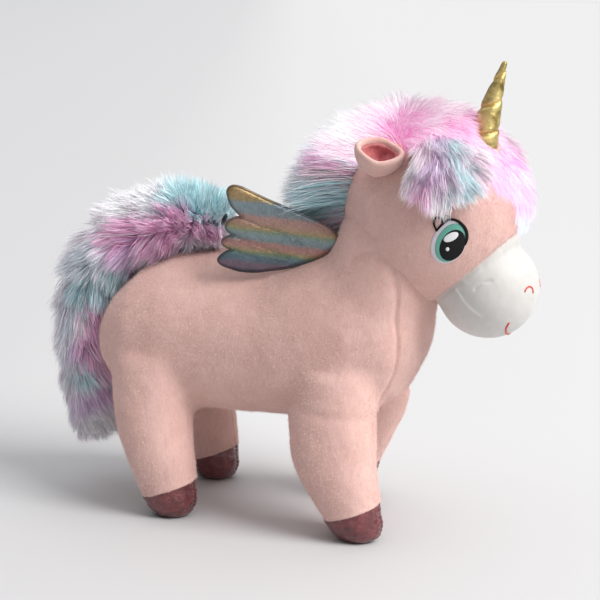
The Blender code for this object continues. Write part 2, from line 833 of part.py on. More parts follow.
def thread_path():
    points = []
    steps = THREAD_STEPS * HORN_TURNS
    for step in range(THREAD_START, steps - 3):
        turn = 2 * math.pi * step / THREAD_STEPS
        share = step / steps
        radius = horn_profile(share, turn, 0) + THREAD_RADIUS + THREAD_GAP
        points.append(horn_point(share, turn, radius))
    return points


def tube(points, radius, count, side):
    """A closed tube along points; side is a direction that the path never follows."""
    rings = []
    for index, point in enumerate(points):
        before = points[max(index - 1, 0)]
        after = points[min(index + 1, len(points) - 1)]
        along = (after - before).normalized()
        across = (side - along * side.dot(along)).normalized()
        rings.append(oval_ring(point, across, along.cross(across), radius, radius, count, 2.0))
    return loft(rings)


def build_horn(looks):
    skull = helper("horn_seat", mesh_of(grown_ball(HEAD, HEAD_RADII, HORN_SEAT_GAP), "horn_seat"))
    cover = add_object("horn_cover", mesh_of(horn_solid(0, 0, 1, 16, 14), "horn_cover"), looks["gold_lame"])
    hollow = helper("horn_hollow", mesh_of(horn_solid(HORN_WALL, -0.05, 0.9, 14, 14), "horn_hollow"))
    cut_away(cover, hollow)
    cut_away(cover, skull)
    fill = horn_solid(HORN_WALL + FILL_GAP, -0.05, 0.86, 14, 14)
    filling = add_object("horn_stuffing", mesh_of(fill, "horn_stuffing"), looks["polyester_fill"])
    cut_away(filling, skull)
    thread = tube(thread_path(), THREAD_RADIUS, 5, Vector((0, 0, 1)))
    add_object("horn_thread", mesh_of(thread, "horn_thread"), looks["gold_thread"])


# Ears ---------------------------------------------------------------------------------------------


def ear_shell(outer_inset, wall):
    """A cup: half of an oval ball with a wall, its rim in the opening's plane."""
    along = EAR_TIP - EAR_BASE
    middle = (EAR_BASE + EAR_TIP) / 2
    half_length = along.length / 2 + 3
    along.normalize()
    opening = (EAR_OPENING - along * EAR_OPENING.dot(along)).normalized()
    across = along.cross(opening)
    turn = Matrix((across, along, opening)).transposed()
    shells = []
    for extra in (outer_inset, outer_inset + wall):
        radii = Vector((EAR_HALF_WIDTH - extra, half_length - extra, EAR_DEPTH - extra))
        bm = bmesh.new()
        bmesh.ops.create_uvsphere(bm, u_segments=14, v_segments=8, radius=1)
        bmesh.ops.rotate(bm, verts=bm.verts, matrix=Matrix.Rotation(math.pi / 2, 3, "X"))
        bmesh.ops.scale(bm, vec=radii, verts=bm.verts)
        bmesh.ops.rotate(bm, verts=bm.verts, matrix=turn)
        bmesh.ops.translate(bm, vec=middle, verts=bm.verts)
        shells.append(bm)
    return shells, middle, opening


def build_ear(side_name, looks):
    layers = (
        ("ear_outer", 0.0, EAR_WALL, "pink_plush", 0.0),
        ("ear_lining", EAR_WALL + GAP, EAR_LINING, "coral_satin", 1.0),
    )
    for name, start, wall, look, drop in layers:
        (outer, inner), middle, opening = ear_shell(start, wall)
        meshes = [mesh_of(outer, name), mesh_of(inner, name + "_hollow")]
        cutters = [meshes[1], mesh_of(half_space(middle + opening * (2.5 - drop), opening), name + "_rim")]
        cutters.append(mesh_of(grown_ball(HEAD, HEAD_RADII, EAR_SEAT_GAP), name + "_seat"))
        if side_name == "left":
            meshes[0] = mirrored(meshes[0])
            cutters = [mirrored(mesh) for mesh in cutters]
        ear = add_object(f"{name}_{side_name}", meshes[0], looks[look])
        for index, mesh in enumerate(cutters):
            cut_away(ear, helper(f"{name}_{side_name}_cutter_{index}", mesh))


# Wings --------------------------------------------------------------------------------------------


def smooth_run(points, steps):
    """Catmull-Rom points through an open run, without its last point."""
    run = []
    count = len(points)
    for i in range(count - 1):
        a = Vector(points[max(i - 1, 0)])
        b = Vector(points[i])
        c = Vector(points[i + 1])
        d = Vector(points[min(i + 2, count - 1)])
        for step in range(steps):
            t = step / steps
            squared = 2 * a - 5 * b + 4 * c - d
            cubed = 3 * b - a - 3 * c + d
            run.append((2 * b + (c - a) * t + squared * t**2 + cubed * t**3) / 2)
    return run


def wing_outline():
    outline = smooth_run(WING_TOP_EDGE, 1)
    for feather in WING_FEATHERS:
        outline += smooth_run(feather, 2)
    outline += smooth_run(WING_LOW_EDGE, 1)
    return outline


def wing_axes():
    along = WING_ALONG.normalized()
    up = (WING_UP_HINT - along * WING_UP_HINT.dot(along)).normalized()
    return along, up, along.cross(up)


def wing_point(place, lift):
    """A point of the wing: it curves outwards towards the feather tips."""
    along, up, inward = wing_axes()
    share = place[0] / WING_SPAN
    curve = WING_CAMBER * (share**2 - share * 0.55)
    return WING_ORIGIN + along * place[0] + up * place[1] - inward * (curve + lift)


def wing_layer(lift, thickness):
    """One layer of the wing: its outline cut into strips along the span, then curved."""
    bm = bmesh.new()
    face = bm.faces.new([bm.verts.new((p[0], p[1], 0)) for p in wing_outline()])
    made = bmesh.ops.extrude_face_region(bm, geom=[face])
    for element in made["geom"]:
        if isinstance(element, bmesh.types.BMVert):
            element.co.z = 1
    for place in range(15, 95, 15):
        everything = bm.verts[:] + bm.edges[:] + bm.faces[:]
        bmesh.ops.bisect_plane(bm, geom=everything, plane_co=(place, 0, 0), plane_no=(1, 0, 0))
    bmesh.ops.triangulate(bm, faces=bm.faces)
    for vert in bm.verts:
        vert.co = wing_point((vert.co.x, vert.co.y), lift + thickness * vert.co.z)
    return bm


def wing_hinge(side):
    """Middle and direction of the seam line a wing swings about, outwards for positive angles."""
    front, back = (wing_point(place, WING_THICKNESS) for place in WING_SEAM)
    along = (front - back).normalized()
    if side > 0:
        along = Vector((along.x, -along.y, -along.z))
    return mirrored_place((front + back) / 2, side), along


def build_wing(form, side_name, looks):
    layers = (
        ("wing_inner_fabric", 0.0, WING_FABRIC, "holographic_fabric"),
        ("wing_foam", WING_FABRIC + GAP, WING_FOAM, "white_foam"),
        ("wing_outer_fabric", WING_THICKNESS - WING_FABRIC, WING_FABRIC, "holographic_fabric"),
    )
    for name, lift, thickness, look in layers:
        mesh = mesh_of(wing_layer(lift, thickness), name)
        if side_name == "left":
            mesh = mirrored(mesh)
        layer = add_object(f"{name}_{side_name}", mesh, looks[look])
        cut_away(layer, helper(f"{name}_{side_name}_room", inset(form, -WING_BODY_GAP)))
        if side_name == "left":
            middle, along = wing_hinge(1)
            layer.data = turned(evaluated_mesh(layer), middle, LEFT_WING_SPLAY, along)
            layer.modifiers.clear()


# Long-pile mane and tail ------------------------------------------------------------------------


def tail_rings():
    rings = []
    for index, (y, z, half_depth, half_width) in enumerate(TAIL):
        before, after = TAIL[max(index - 1, 0)], TAIL[min(index + 1, len(TAIL) - 1)]
        along = Vector((0, after[0] - before[0], after[1] - before[1])).normalized()
        depth = along.cross(ACROSS)
        rings.append(oval_ring(Vector((0, y, z)), ACROSS, depth, half_width, half_depth, 18, 2.0))
    return rings


def turned(mesh, centre, degrees, axis):
    """A copy of a mesh in metres, turned about an axis through centre."""
    made = mesh.copy()
    place = Matrix.Translation(centre * MM)
    made.transform(place @ Matrix.Rotation(math.radians(degrees), 4, axis) @ place.inverted())
    return made


def build_tail(form, looks):
    """The fur tube is cut clear of the rump over its whole swing, and open where the filling leaves it."""
    fur = add_object("tail_fur", mesh_of(loft(tail_rings()), "tail_fur"), looks["pastel_fur"])
    rump = inset(form, -TAIL_RUMP_GAP)
    for step in (-1, 0, 1):
        swung = turned(rump, TAIL_HINGE, step * TAIL_SWING_LIMIT, "Z")
        cut_away(fur, helper(f"rump_room_{step}", swung))
    path = smooth_run([(0, y, z) for y, z in TAIL_CORE], 2) + [Vector((0, *TAIL_CORE[-1]))]
    core = mesh_of(tube(path, TAIL_CORE_RADIUS, 8, ACROSS), "tail_stuffing")
    add_object("tail_stuffing", core, looks["polyester_fill"])
    below_root = path[0] - Vector((0, 4, 14))
    room = mesh_of(tube([below_root] + path, TAIL_CORE_RADIUS + GAP, 8, ACROSS), "tail_room")
    cut_away(fur, helper("tail_room", room))


def mane_ring(angle, outer):
    """A section of the mane about the head's centre: flat on the ball, domed outside."""
    turn = math.radians(angle)
    out = Vector((0, -math.cos(turn), math.sin(turn)))
    half = between(MANE_HALF_WIDTH, angle)
    ring = []
    count = 9
    for sign in (1, -1):
        for step in range(count if sign > 0 else count - 2):
            share = (2 * step / (count - 1) - 1) if sign > 0 else (1 - 2 * (step + 1) / (count - 1))
            x = half * share
            seat = HEAD_RADII.y * math.sqrt(1 - (x / HEAD_RADII.x) ** 2) + MANE_LIFT
            rise = (outer - HEAD_RADII.y - MANE_LIFT) * (1 - share**2) ** 0.6
            height = seat + (max(rise, 1.5) if sign > 0 else 0)
            ring.append(HEAD + out * height + Vector((x, 0, 0)))
    return ring


def build_mane(form, looks):
    crown = loft([mane_ring(*section) for section in CROWN_MANE])
    crown = add_object("crown_mane_fur", mesh_of(crown, "crown_mane_fur"), looks["pastel_fur"])
    hole = tube([horn_point(share, 0, 0) for share in (-0.2, 0.3, 0.6, 1.0)], HORN_RADIUS + 1.5, 16, ACROSS)
    cut_away(crown, helper("horn_hole", mesh_of(hole, "horn_hole")))
    neck = loft([mane_ring(*section) for section in NECK_MANE])
    neck = add_object("neck_mane_fur", mesh_of(neck, "neck_mane_fur"), looks["pastel_fur"])
    cut_away(neck, helper("neck_room", inset(form, -1.0)))


def build_forelock(form, side_name, looks):
    cheek = Cheek(form, FORELOCK_CENTRE)
    outline = smooth_run(FORELOCK_OUTLINE + FORELOCK_OUTLINE[:1], 2)
    rows = [outline, shrunk(outline, 0.75), shrunk(outline, 0.4)]
    mesh = mesh_of(cheek.patch(rows, MANE_LIFT, 1.5, True, FORELOCK_DOME), "forelock_fur")
    if side_name == "left":
        mesh = mirrored(mesh)
    add_object(f"forelock_fur_{side_name}", mesh, looks["pastel_fur"])


# Pivots of the moving pieces ----------------------------------------------------------------------


HEAD_PIECES = ("head_", "muzzle_", "eye_", "nostril_", "mouth_", "horn_", "crown_", "forelock_")


def mirrored_place(place, side):
    """A place given for the right side, on the side wanted."""
    return Vector((place.x * -side, place.y, place.z))


def pivot(name, place, pieces, parent=None):
    """An empty on a joint's axis that carries its pieces, leaving them where they are."""
    empty = bpy.data.objects.new(name, None)
    bpy.context.scene.collection.objects.link(empty)
    empty.location = place * MM
    if parent is not None:
        empty.parent = parent
        empty.matrix_parent_inverse = Matrix.Translation(-parent.location)
    for piece in pieces:
        piece.parent = empty
        piece.matrix_parent_inverse = Matrix.Translation(-place * MM)
    return empty


def pieces_named(starts, end=""):
    shown = [obj for obj in bpy.data.objects if not obj.hide_render]
    return [obj for obj in shown if obj.name.startswith(starts) and obj.name.endswith(end)]


def add_pivots():
    head = pivot("head_pivot", HEAD, pieces_named(HEAD_PIECES))
    pivot("tail_pivot", TAIL_HINGE, pieces_named("tail_"))
    for name, side in (("right", -1), ("left", 1)):
        ear = mirrored_place(EAR_HINGE, side)
        pivot(f"ear_pivot_{name}", ear, pieces_named("ear_", name), head)
        pivot(f"wing_pivot_{name}", wing_hinge(side)[0], pieces_named("wing_", name))


def build_all():
    clear_scene()
    looks = {
        "pink_plush": material("pink_plush", (0.80, 0.50, 0.45), 0.95),
        "white_velour": material("white_velour", (0.84, 0.82, 0.79), 0.75),
        "maroon_leatherette": material("maroon_leatherette", (0.17, 0.045, 0.05), 0.35, 0.3),
        "polyester_fill": material("polyester_fill", (0.9, 0.9, 0.9), 1.0),
        "gold_lame": material("gold_lame", (0.72, 0.56, 0.18), 0.35, 0.8),
        "gold_thread": material("gold_thread", (0.55, 0.42, 0.12), 0.5, 0.5),
        "coral_satin": material("coral_satin", (0.48, 0.12, 0.14), 0.6),
        "holographic_fabric": material("holographic_fabric", (0.35, 0.42, 0.42), 0.3, 0.6),
        "white_foam": material("white_foam", (0.85, 0.85, 0.82), 1.0),
        "pastel_fur": material("pastel_fur", (0.70, 0.55, 0.66), 0.9),
        "eye_white": material("eye_white", (0.72, 0.68, 0.72), 0.6),
        "eye_iris": material("eye_iris", (0.11, 0.36, 0.28), 0.55),
        "eye_pupil": material("eye_pupil", (0.008, 0.008, 0.008), 0.5),
        "eye_highlight": material("eye_highlight", (0.85, 0.85, 0.85), 0.5),
        "eye_lash_line": material("eye_lash_line", (0.01, 0.01, 0.01), 0.6),
        "coral_thread": material("coral_thread", (0.66, 0.09, 0.06), 0.6),
    }
    body = build_body(looks)
    head = build_head(looks)
    for side_name in ("right", "left"):
        build_eye(head, side_name, looks)
        build_ear(side_name, looks)
        build_wing(body, side_name, looks)
        build_forelock(head, side_name, looks)
    build_face_stitches(head, looks)
    build_horn(looks)
    build_mane(body, looks)
    build_tail(body, looks)
    for obj in bpy.data.objects:
        if not obj.hide_render:
            smooth(obj)
    add_pivots()


build_all()
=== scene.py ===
"""The plush unicorn's visual model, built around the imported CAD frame.

It faces -Y, its right side is -X, +Z is up, and it stands on z = 0. The shape tables repeat those of
the CAD, which this script can't read. Depths, scatter, hues and finishes were set by comparing renders
with the photograph.
"""

import math

import bmesh
import bpy
import numpy as np
from mathutils import Matrix, Vector, noise
from mathutils.bvhtree import BVHTree
from mathutils.geometry import delaunay_2d_cdt
from mathutils.kdtree import KDTree


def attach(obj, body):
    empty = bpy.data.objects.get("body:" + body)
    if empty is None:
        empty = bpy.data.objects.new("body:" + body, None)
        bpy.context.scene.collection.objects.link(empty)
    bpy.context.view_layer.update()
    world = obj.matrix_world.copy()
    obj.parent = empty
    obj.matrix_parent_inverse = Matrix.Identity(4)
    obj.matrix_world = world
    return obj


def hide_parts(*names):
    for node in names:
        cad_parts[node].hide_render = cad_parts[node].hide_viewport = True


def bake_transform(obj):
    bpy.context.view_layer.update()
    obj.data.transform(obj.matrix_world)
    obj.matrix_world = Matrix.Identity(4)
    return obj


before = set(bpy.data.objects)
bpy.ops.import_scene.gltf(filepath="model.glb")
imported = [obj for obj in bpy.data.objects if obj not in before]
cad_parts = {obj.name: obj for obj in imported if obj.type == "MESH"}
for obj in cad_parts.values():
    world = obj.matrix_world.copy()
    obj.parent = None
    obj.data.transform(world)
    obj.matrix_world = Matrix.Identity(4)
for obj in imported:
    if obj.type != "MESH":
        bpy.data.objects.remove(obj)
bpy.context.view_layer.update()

MM = 0.001
PRESSURE = 4.0
CLOTH_FRAMES = 20
SEAM_PULL = 0.6
BODY_FIBRES = 110000
HEAD_FIBRES = 34000
CROWN_STRANDS = 39000
NECK_STRANDS = 20000
FORELOCK_STRANDS = 10000
TAIL_STRANDS = 39000
SEGMENTS = 5
X_AXIS = np.array((1.0, 0.0, 0.0))
Y_AXIS = np.array((0.0, 1.0, 0.0))
Z_AXIS = np.array((0.0, 0.0, 1.0))
ACROSS_X = np.array((-1, 1, 1))
BRUSHED = np.array((0.0, 0.55, -0.85))

HEAD = np.array((0.0, -118.0, 247.0))
HEAD_RADII = np.array((58.0, 68.0, 68.0))
MUZZLE = np.array((0.0, -160.5, 192.5))
MUZZLE_RADII = np.array((38.0, 39.0, 39.0))
MUZZLE_SEAM_TOP = np.array((0.0, -178.0, 229.0))
MUZZLE_SEAM_LOW = np.array((0.0, -121.5, 179.0))

# Torso sections: (y, top z, bottom z, half width).
TORSO = (
    (-118, 183, 157, 12),
    (-112, 205, 132, 35),
    (-97, 219, 103, 50),
    (-70, 226, 88, 60),
    (-35, 218, 82, 62),
    (5, 204, 80, 61),
    (50, 206, 79, 62),
    (85, 206, 79, 63),
    (115, 192, 84, 60),
    (136, 174, 95, 50),
    (149, 156, 109, 34),
    (155, 141, 122, 14),
)
# Neck sections: (y and z of the centre, half width, half depth, lean in degrees).
NECK = (
    (-60, 160, 58, 52, 16),
    (-80, 196, 55, 45, 20),
    (-90, 225, 51, 43, 22),
    (-104, 256, 44, 38, 22),
)
# Legs. A section is (z, y of its centre, half length, half width, x of its centre).
FRONT_LEG = (
    (-5, -77, 8, 7, 48),
    (0, -77, 10, 9, 48),
    (4, -76, 16.5, 15, 48),
    (11, -74, 21.5, 20, 48),
    (21, -70, 25, 22, 48),
    (34, -65, 29, 24, 48),
    (50, -59.5, 32.5, 26, 48),
    (68, -55.5, 34.5, 28, 46),
    (90, -53.5, 35, 29, 42),
    (128, -54, 34, 28, 36),
)
STEPPED_BACK_LEG = (
    (-5, -38, 8, 7, 48),
    (0, -38, 10, 9, 48),
    (4, -37.5, 16.5, 15, 48),
    (11, -37, 21, 20, 48),
    (21, -36, 24, 22, 48),
    (34, -36.5, 27.5, 24, 48),
    (50, -41, 31.5, 26, 48),
    (68, -47.5, 34.5, 28, 46),
    (90, -52.5, 36.5, 29, 42),
    (128, -54, 34, 28, 36),
)
HIND_LEG = (
    (-5, 78, 8, 7, 48),
    (0, 78, 10, 9, 48),
    (4, 78.5, 16.5, 15, 48),
    (11, 79.5, 21, 20, 48),
    (21, 82, 24, 22, 48),
    (34, 85, 26.5, 24, 48),
    (50, 89, 29, 26, 48),
    (68, 93.5, 31, 28, 46),
    (90, 97, 33, 30, 42),
    (128, 96, 36, 30, 36),
)
LEGS = {
    "front_right": (-1, FRONT_LEG, 0),
    "front_left": (1, STEPPED_BACK_LEG, 0),
    "hind_right": (-1, HIND_LEG, 0),
    "hind_left": (1, HIND_LEG, 5),
}
HOOF_SEAM_Z = 21
HOOF_SEAM_TILT = 20
HOOF_BOWL = ((0, 0.42), (1.5, 0.56), (4, 0.68), (8, 0.79), (13, 0.87), (21, 0.93), (38, 0.93))
LEG_SEAM_X = 46
CHEST_FOOT = 93

WING_ORIGIN = np.array((-27.0, -57.0, 224.0))
WING_ALONG = (-0.22, 0.96, 0)
WING_UP_HINT = np.array((-0.12, 0, 1))
WING_TOP_EDGE = ((3, 1), (12.5, 11.5), (35, 22), (58, 32), (76, 41))
WING_FEATHERS = (
    ((76, 41), (82, 42.3), (86, 39.5), (85.6, 34), (83, 27), (75, 18)),
    ((75, 18), (81, 17.8), (85.8, 15.5), (88, 11.8), (87, 8.2), (82, 4.5)),
    ((82, 4.5), (87.5, 3), (91, 0.5), (90.5, -3), (87, -5), (83, -7)),
    ((83, -7), (88.7, -9), (93.2, -12.3), (94.6, -15.5), (90.8, -19), (80, -23)),
)
WING_LOW_EDGE = ((80, -23), (69, -24), (56.6, -22.7), (40.7, -19.9), (22.3, -13.5), (10, -6), (3, 1))
WING_GROOVES = (
    ((75, 18), (62, 12.2), (49, 8.3), (32, 0)),
    ((82, 4.5), (62, -3.6), (41.5, -12)),
    ((83, -7), (61.6, -13.7), (44, -17.3)),
)
WING_CAMBER = 9.0
WING_SPAN = 95.0
WING_MIDDLE = 1.7
WING_SEAM = ((3, -2), (24, -17))
WING_THICKNESS = 4.0
LEFT_WING_SPLAY = 16

EAR_BASE = np.array((-47.0, -107.0, 287.0))
EAR_TIP = np.array((-50.5, -75.0, 296.0))
EAR_OPENING = np.array((-0.45, 0.1, 0.89))
EAR_HALF_WIDTH = 15
EAR_DEPTH = 18.5

HORN_BASE = np.array((0.0, -152.5, 296.0))
HORN_TIP = np.array((0.0, -168.8, 358.3))
HORN_RADIUS = 12.6
HORN_TIP_RADIUS = 1.6
HORN_TURNS = 3
HORN_GROOVE = 2.3

EYE_CENTRE = np.array((-52.0, -144.9, 233.4))
EYE_WHITE = ((-0.2, 0.1), (12.2, 16.9), 20)
EYE_IRIS = ((0.9, -0.2), (10.3, 15.0), 20)
EYE_PUPIL = ((2.2, -1.7), (8.7, 12.2), 20)
EYE_SHINE = ((0.9, 4.9), (2.9, 5.6), 62)
EYE_GLINT = ((-1.2, -4.2), (1.3, 1.6), 0)

# Tail sections: (y, z, half depth, half width).
TAIL = (
    (48, 229, 9, 10),
    (60, 230, 21, 23),
    (84, 228, 29, 31),
    (110, 223, 33, 34),
    (136, 212, 32, 35),
    (158, 189, 31, 34),
    (171, 161, 28, 33),
    (175.5, 133, 24, 31),
    (174.5, 108, 24, 30),
    (172, 82, 22.5, 28),
    (170, 56, 17, 22),
    (168.5, 38, 6, 8),
)


# Small maths ------------------------------------------------------------------------------------


def unit(vector):
    vector = np.asarray(vector, float)
    return vector / np.linalg.norm(vector, axis=-1, keepdims=True)


def step_between(low, high, value):
    """0 below low, 1 above high, smooth between."""
    share = np.clip((value - low) / (high - low), 0, 1)
    return share * share * (3 - 2 * share)


def turn_x(vector, degrees):
    c, s = math.cos(math.radians(degrees)), math.sin(math.radians(degrees))
    x, y, z = vector
    return np.array((x, c * y - s * z, s * y + c * z))


def table_value(rows, at, column):
    return np.interp(at, [row[0] for row in rows], [row[column] for row in rows])


def smooth_run(points, steps):
    """Catmull-Rom points through an open run, its last point included."""
    points = [np.asarray(p, float) for p in points]
    run = []
    count = len(points)
    for i in range(count - 1):
        a, b = points[max(i - 1, 0)], points[i]
        c, d = points[i + 1], points[min(i + 2, count - 1)]
        for step in range(steps):
            t = step / steps
            squared = 2 * a - 5 * b + 4 * c - d
            cubed = 3 * b - a - 3 * c + d
            run.append((2 * b + (c - a) * t + squared * t**2 + cubed * t**3) / 2)
    run.append(points[-1])
    return run


def distance_to_run(points, run):
    """Distance of each point to a polyline."""
    best = np.full(len(points), 1e9)
    for a, b in zip(run, run[1:]):
        along = b - a
        share = np.clip((points - a) @ along / max(along @ along, 1e-9), 0, 1)
        gap = np.linalg.norm(points - a - share[:, None] * along, axis=1)
        best = np.minimum(best, gap)
    return best


def rough(points, size, seed=0.0):
    """Smooth random values, about -1 to 1, that vary over this size."""
    shift = Vector((seed * 17.3, seed * 5.1, -seed * 9.7))
    return np.array([noise.noise(Vector(p) / size + shift) for p in points])


# Meshes -----------------------------------------------------------------------------------------


def new_object(name, data):
    obj = bpy.data.objects.new(name, data)
    bpy.context.scene.collection.objects.link(obj)
    return obj


def mesh_object(name, points, faces, looks, smooth=True):
    """An object from millimetre points and faces, wearing the materials in looks."""
    mesh = bpy.data.meshes.new(name)
    mesh.from_pydata((np.asarray(points, float) * MM).tolist(), [], faces)
    for look in looks:
        mesh.materials.append(look)
    if smooth:
        mesh.shade_smooth()
    return new_object(name, mesh)


def vertex_values(obj, field):
    flat = np.empty(len(obj.data.vertices) * 3, np.float32)
    obj.data.vertices.foreach_get(field, flat)
    return flat.reshape(-1, 3).astype(float)


def points_of(obj):
    """The object's points in millimetres."""
    return vertex_values(obj, "co") / MM


def normals_of(obj):
    return vertex_values(obj, "normal")


def move_points(obj, points):
    obj.data.vertices.foreach_set("co", (points * MM).astype(np.float32).ravel())
    obj.data.update()


def set_uv(obj, name, values):
    """A UV layer from one pair of values for each point."""
    layer = obj.data.uv_layers.new(name=name)
    corners = np.empty(len(obj.data.loops), np.int32)
    obj.data.loops.foreach_get("vertex_index", corners)
    layer.data.foreach_set("uv", values[corners].astype(np.float32).ravel())


def settle(obj):
    """Applies the object's modifiers."""
    bpy.context.view_layer.update()
    graph = bpy.context.evaluated_depsgraph_get()
    mesh = bpy.data.meshes.new_from_object(obj.evaluated_get(graph))
    obj.modifiers.clear()
    old = obj.data
    obj.data = mesh
    bpy.data.meshes.remove(old)
    mesh.shade_smooth()


def subdivide(obj, levels):
    step = obj.modifiers.new("finer", "SUBSURF")
    step.levels = levels
    step.render_levels = levels
    settle(obj)


def fix_normals(obj):
    bm = bmesh.new()
    bm.from_mesh(obj.data)
    bmesh.ops.recalc_face_normals(bm, faces=bm.faces)
    bm.to_mesh(obj.data)
    bm.free()


def drop_points(obj, gone):
    """Deletes the points where gone is true."""
    bm = bmesh.new()
    bm.from_mesh(obj.data)
    bm.verts.ensure_lookup_table()
    bmesh.ops.delete(bm, geom=[bm.verts[i] for i in np.flatnonzero(gone)], context="VERTS")
    bm.to_mesh(obj.data)
    bm.free()
    obj.data.shade_smooth()


def full_turn(count):
    """Angles evenly round a circle."""
    return np.arange(count) * 2 * math.pi / count


def oval_ring(centre, across, along, half_across, half_along, count, power=2.3):
    """An oval of count points, rounder at power 2 and squarer above it."""
    turn = full_turn(count)
    c, s = np.cos(turn), np.sin(turn)
    u = np.sign(c) * np.abs(c) ** (2 / power) * half_across
    v = np.sign(s) * np.abs(s) ** (2 / power) * half_along
    return np.asarray(centre, float) + u[:, None] * across + v[:, None] * along


def ring_faces(rings, count):
    """Faces of a skin over rings of count points each, closed at both ends."""
    faces = []
    for row in range(rings - 1):
        for i in range(count):
            j = (i + 1) % count
            low, high = row * count, (row + 1) * count
            faces.append((low + i, low + j, high + j, high + i))
    faces.append(tuple(range(count))[::-1])
    faces.append(tuple(range((rings - 1) * count, rings * count)))
    return faces


def loft(name, rings, looks=()):
    obj = mesh_object(name, np.concatenate(rings), ring_faces(len(rings), len(rings[0])), looks)
    fix_normals(obj)
    return obj


def ball(name, centre, radii):
    bm = bmesh.new()
    bmesh.ops.create_uvsphere(bm, u_segments=48, v_segments=32, radius=1)
    mesh = bpy.data.meshes.new(name)
    bm.to_mesh(mesh)
    bm.free()
    obj = new_object(name, mesh)
    move_points(obj, points_of(obj) * MM * np.asarray(radii) + centre)
    return obj


def melted(name, shapes, voxel, rounds, looks):
    """Closed shapes made one smooth skin of even quads."""
    bm = bmesh.new()
    for shape in shapes:
        bm.from_mesh(shape.data)
        bpy.data.objects.remove(shape)
    mesh = bpy.data.meshes.new(name)
    bm.to_mesh(mesh)
    bm.free()
    obj = new_object(name, mesh)
    remesh = obj.modifiers.new("melt", "REMESH")
    remesh.mode = "VOXEL"
    remesh.voxel_size = voxel * MM
    relax = obj.modifiers.new("relax", "SMOOTH")
    relax.factor = 0.5
    relax.iterations = rounds
    settle(obj)
    obj.data.materials.clear()
    for look in looks:
        obj.data.materials.append(look)
    return obj


def tree_of(*objs):
    """One surface tree, in millimetres, of several objects."""
    points, faces = [], []
    for obj in objs:
        start = len(points)
        points += [tuple(p) for p in points_of(obj)]
        faces += [tuple(start + i for i in face.vertices) for face in obj.data.polygons]
    return BVHTree.FromPolygons(points, faces)


def tube(name, run, radii, look, sides=10):
    """A closed round tube along a run of points, its rings carried along without twist."""
    run = [np.asarray(p, float) for p in run]
    radii = np.broadcast_to(radii, (len(run),))
    along = unit(run[1] - run[0])
    side = unit(np.cross(along, Z_AXIS if abs(along[2]) < 0.9 else Y_AXIS))
    rings = []
    for index, point in enumerate(run):
        along = unit(run[min(index + 1, len(run) - 1)] - run[max(index - 1, 0)])
        side = unit(side - along * (side @ along))
        up = np.cross(along, side)
        rings.append(oval_ring(point, side, up, radii[index], radii[index], sides, 2.0))
    return loft(name, rings, [look])


def mirrored(obj, name):
    """A copy across x = 0."""
    copy = new_object(name, obj.data.copy())
    copy.data.transform(Matrix.Scale(-1, 4, (1, 0, 0)))
    copy.data.flip_normals()
    return copy


def puffed(obj, pinned, cap):
    """Inflates a closed cover between its pinned seams by a cloth simulation, moving no point past cap."""
    scene = bpy.context.scene
    start = points_of(obj)
    pins = obj.vertex_groups.new(name="seams")
    pins.add([int(i) for i in np.flatnonzero(pinned)], 1.0, "REPLACE")
    cloth = obj.modifiers.new("Cloth", "CLOTH")
    settings = cloth.settings
    settings.quality = 4
    settings.vertex_group_mass = "seams"
    settings.use_pressure = True
    settings.uniform_pressure_force = PRESSURE
    settings.effector_weights.gravity = 0
    cloth.collision_settings.use_collision = False
    for step in range(1, CLOTH_FRAMES + 1):
        scene.frame_set(step)
    settle(obj)
    scene.frame_set(1)
    obj.vertex_groups.clear()
    moved = points_of(obj) - start
    length = np.linalg.norm(moved, axis=1, keepdims=True)
    move_points(obj, start + moved * cap * np.tanh(length / cap) / np.maximum(length, 1e-9))


# Materials --------------------------------------------------------------------------------------


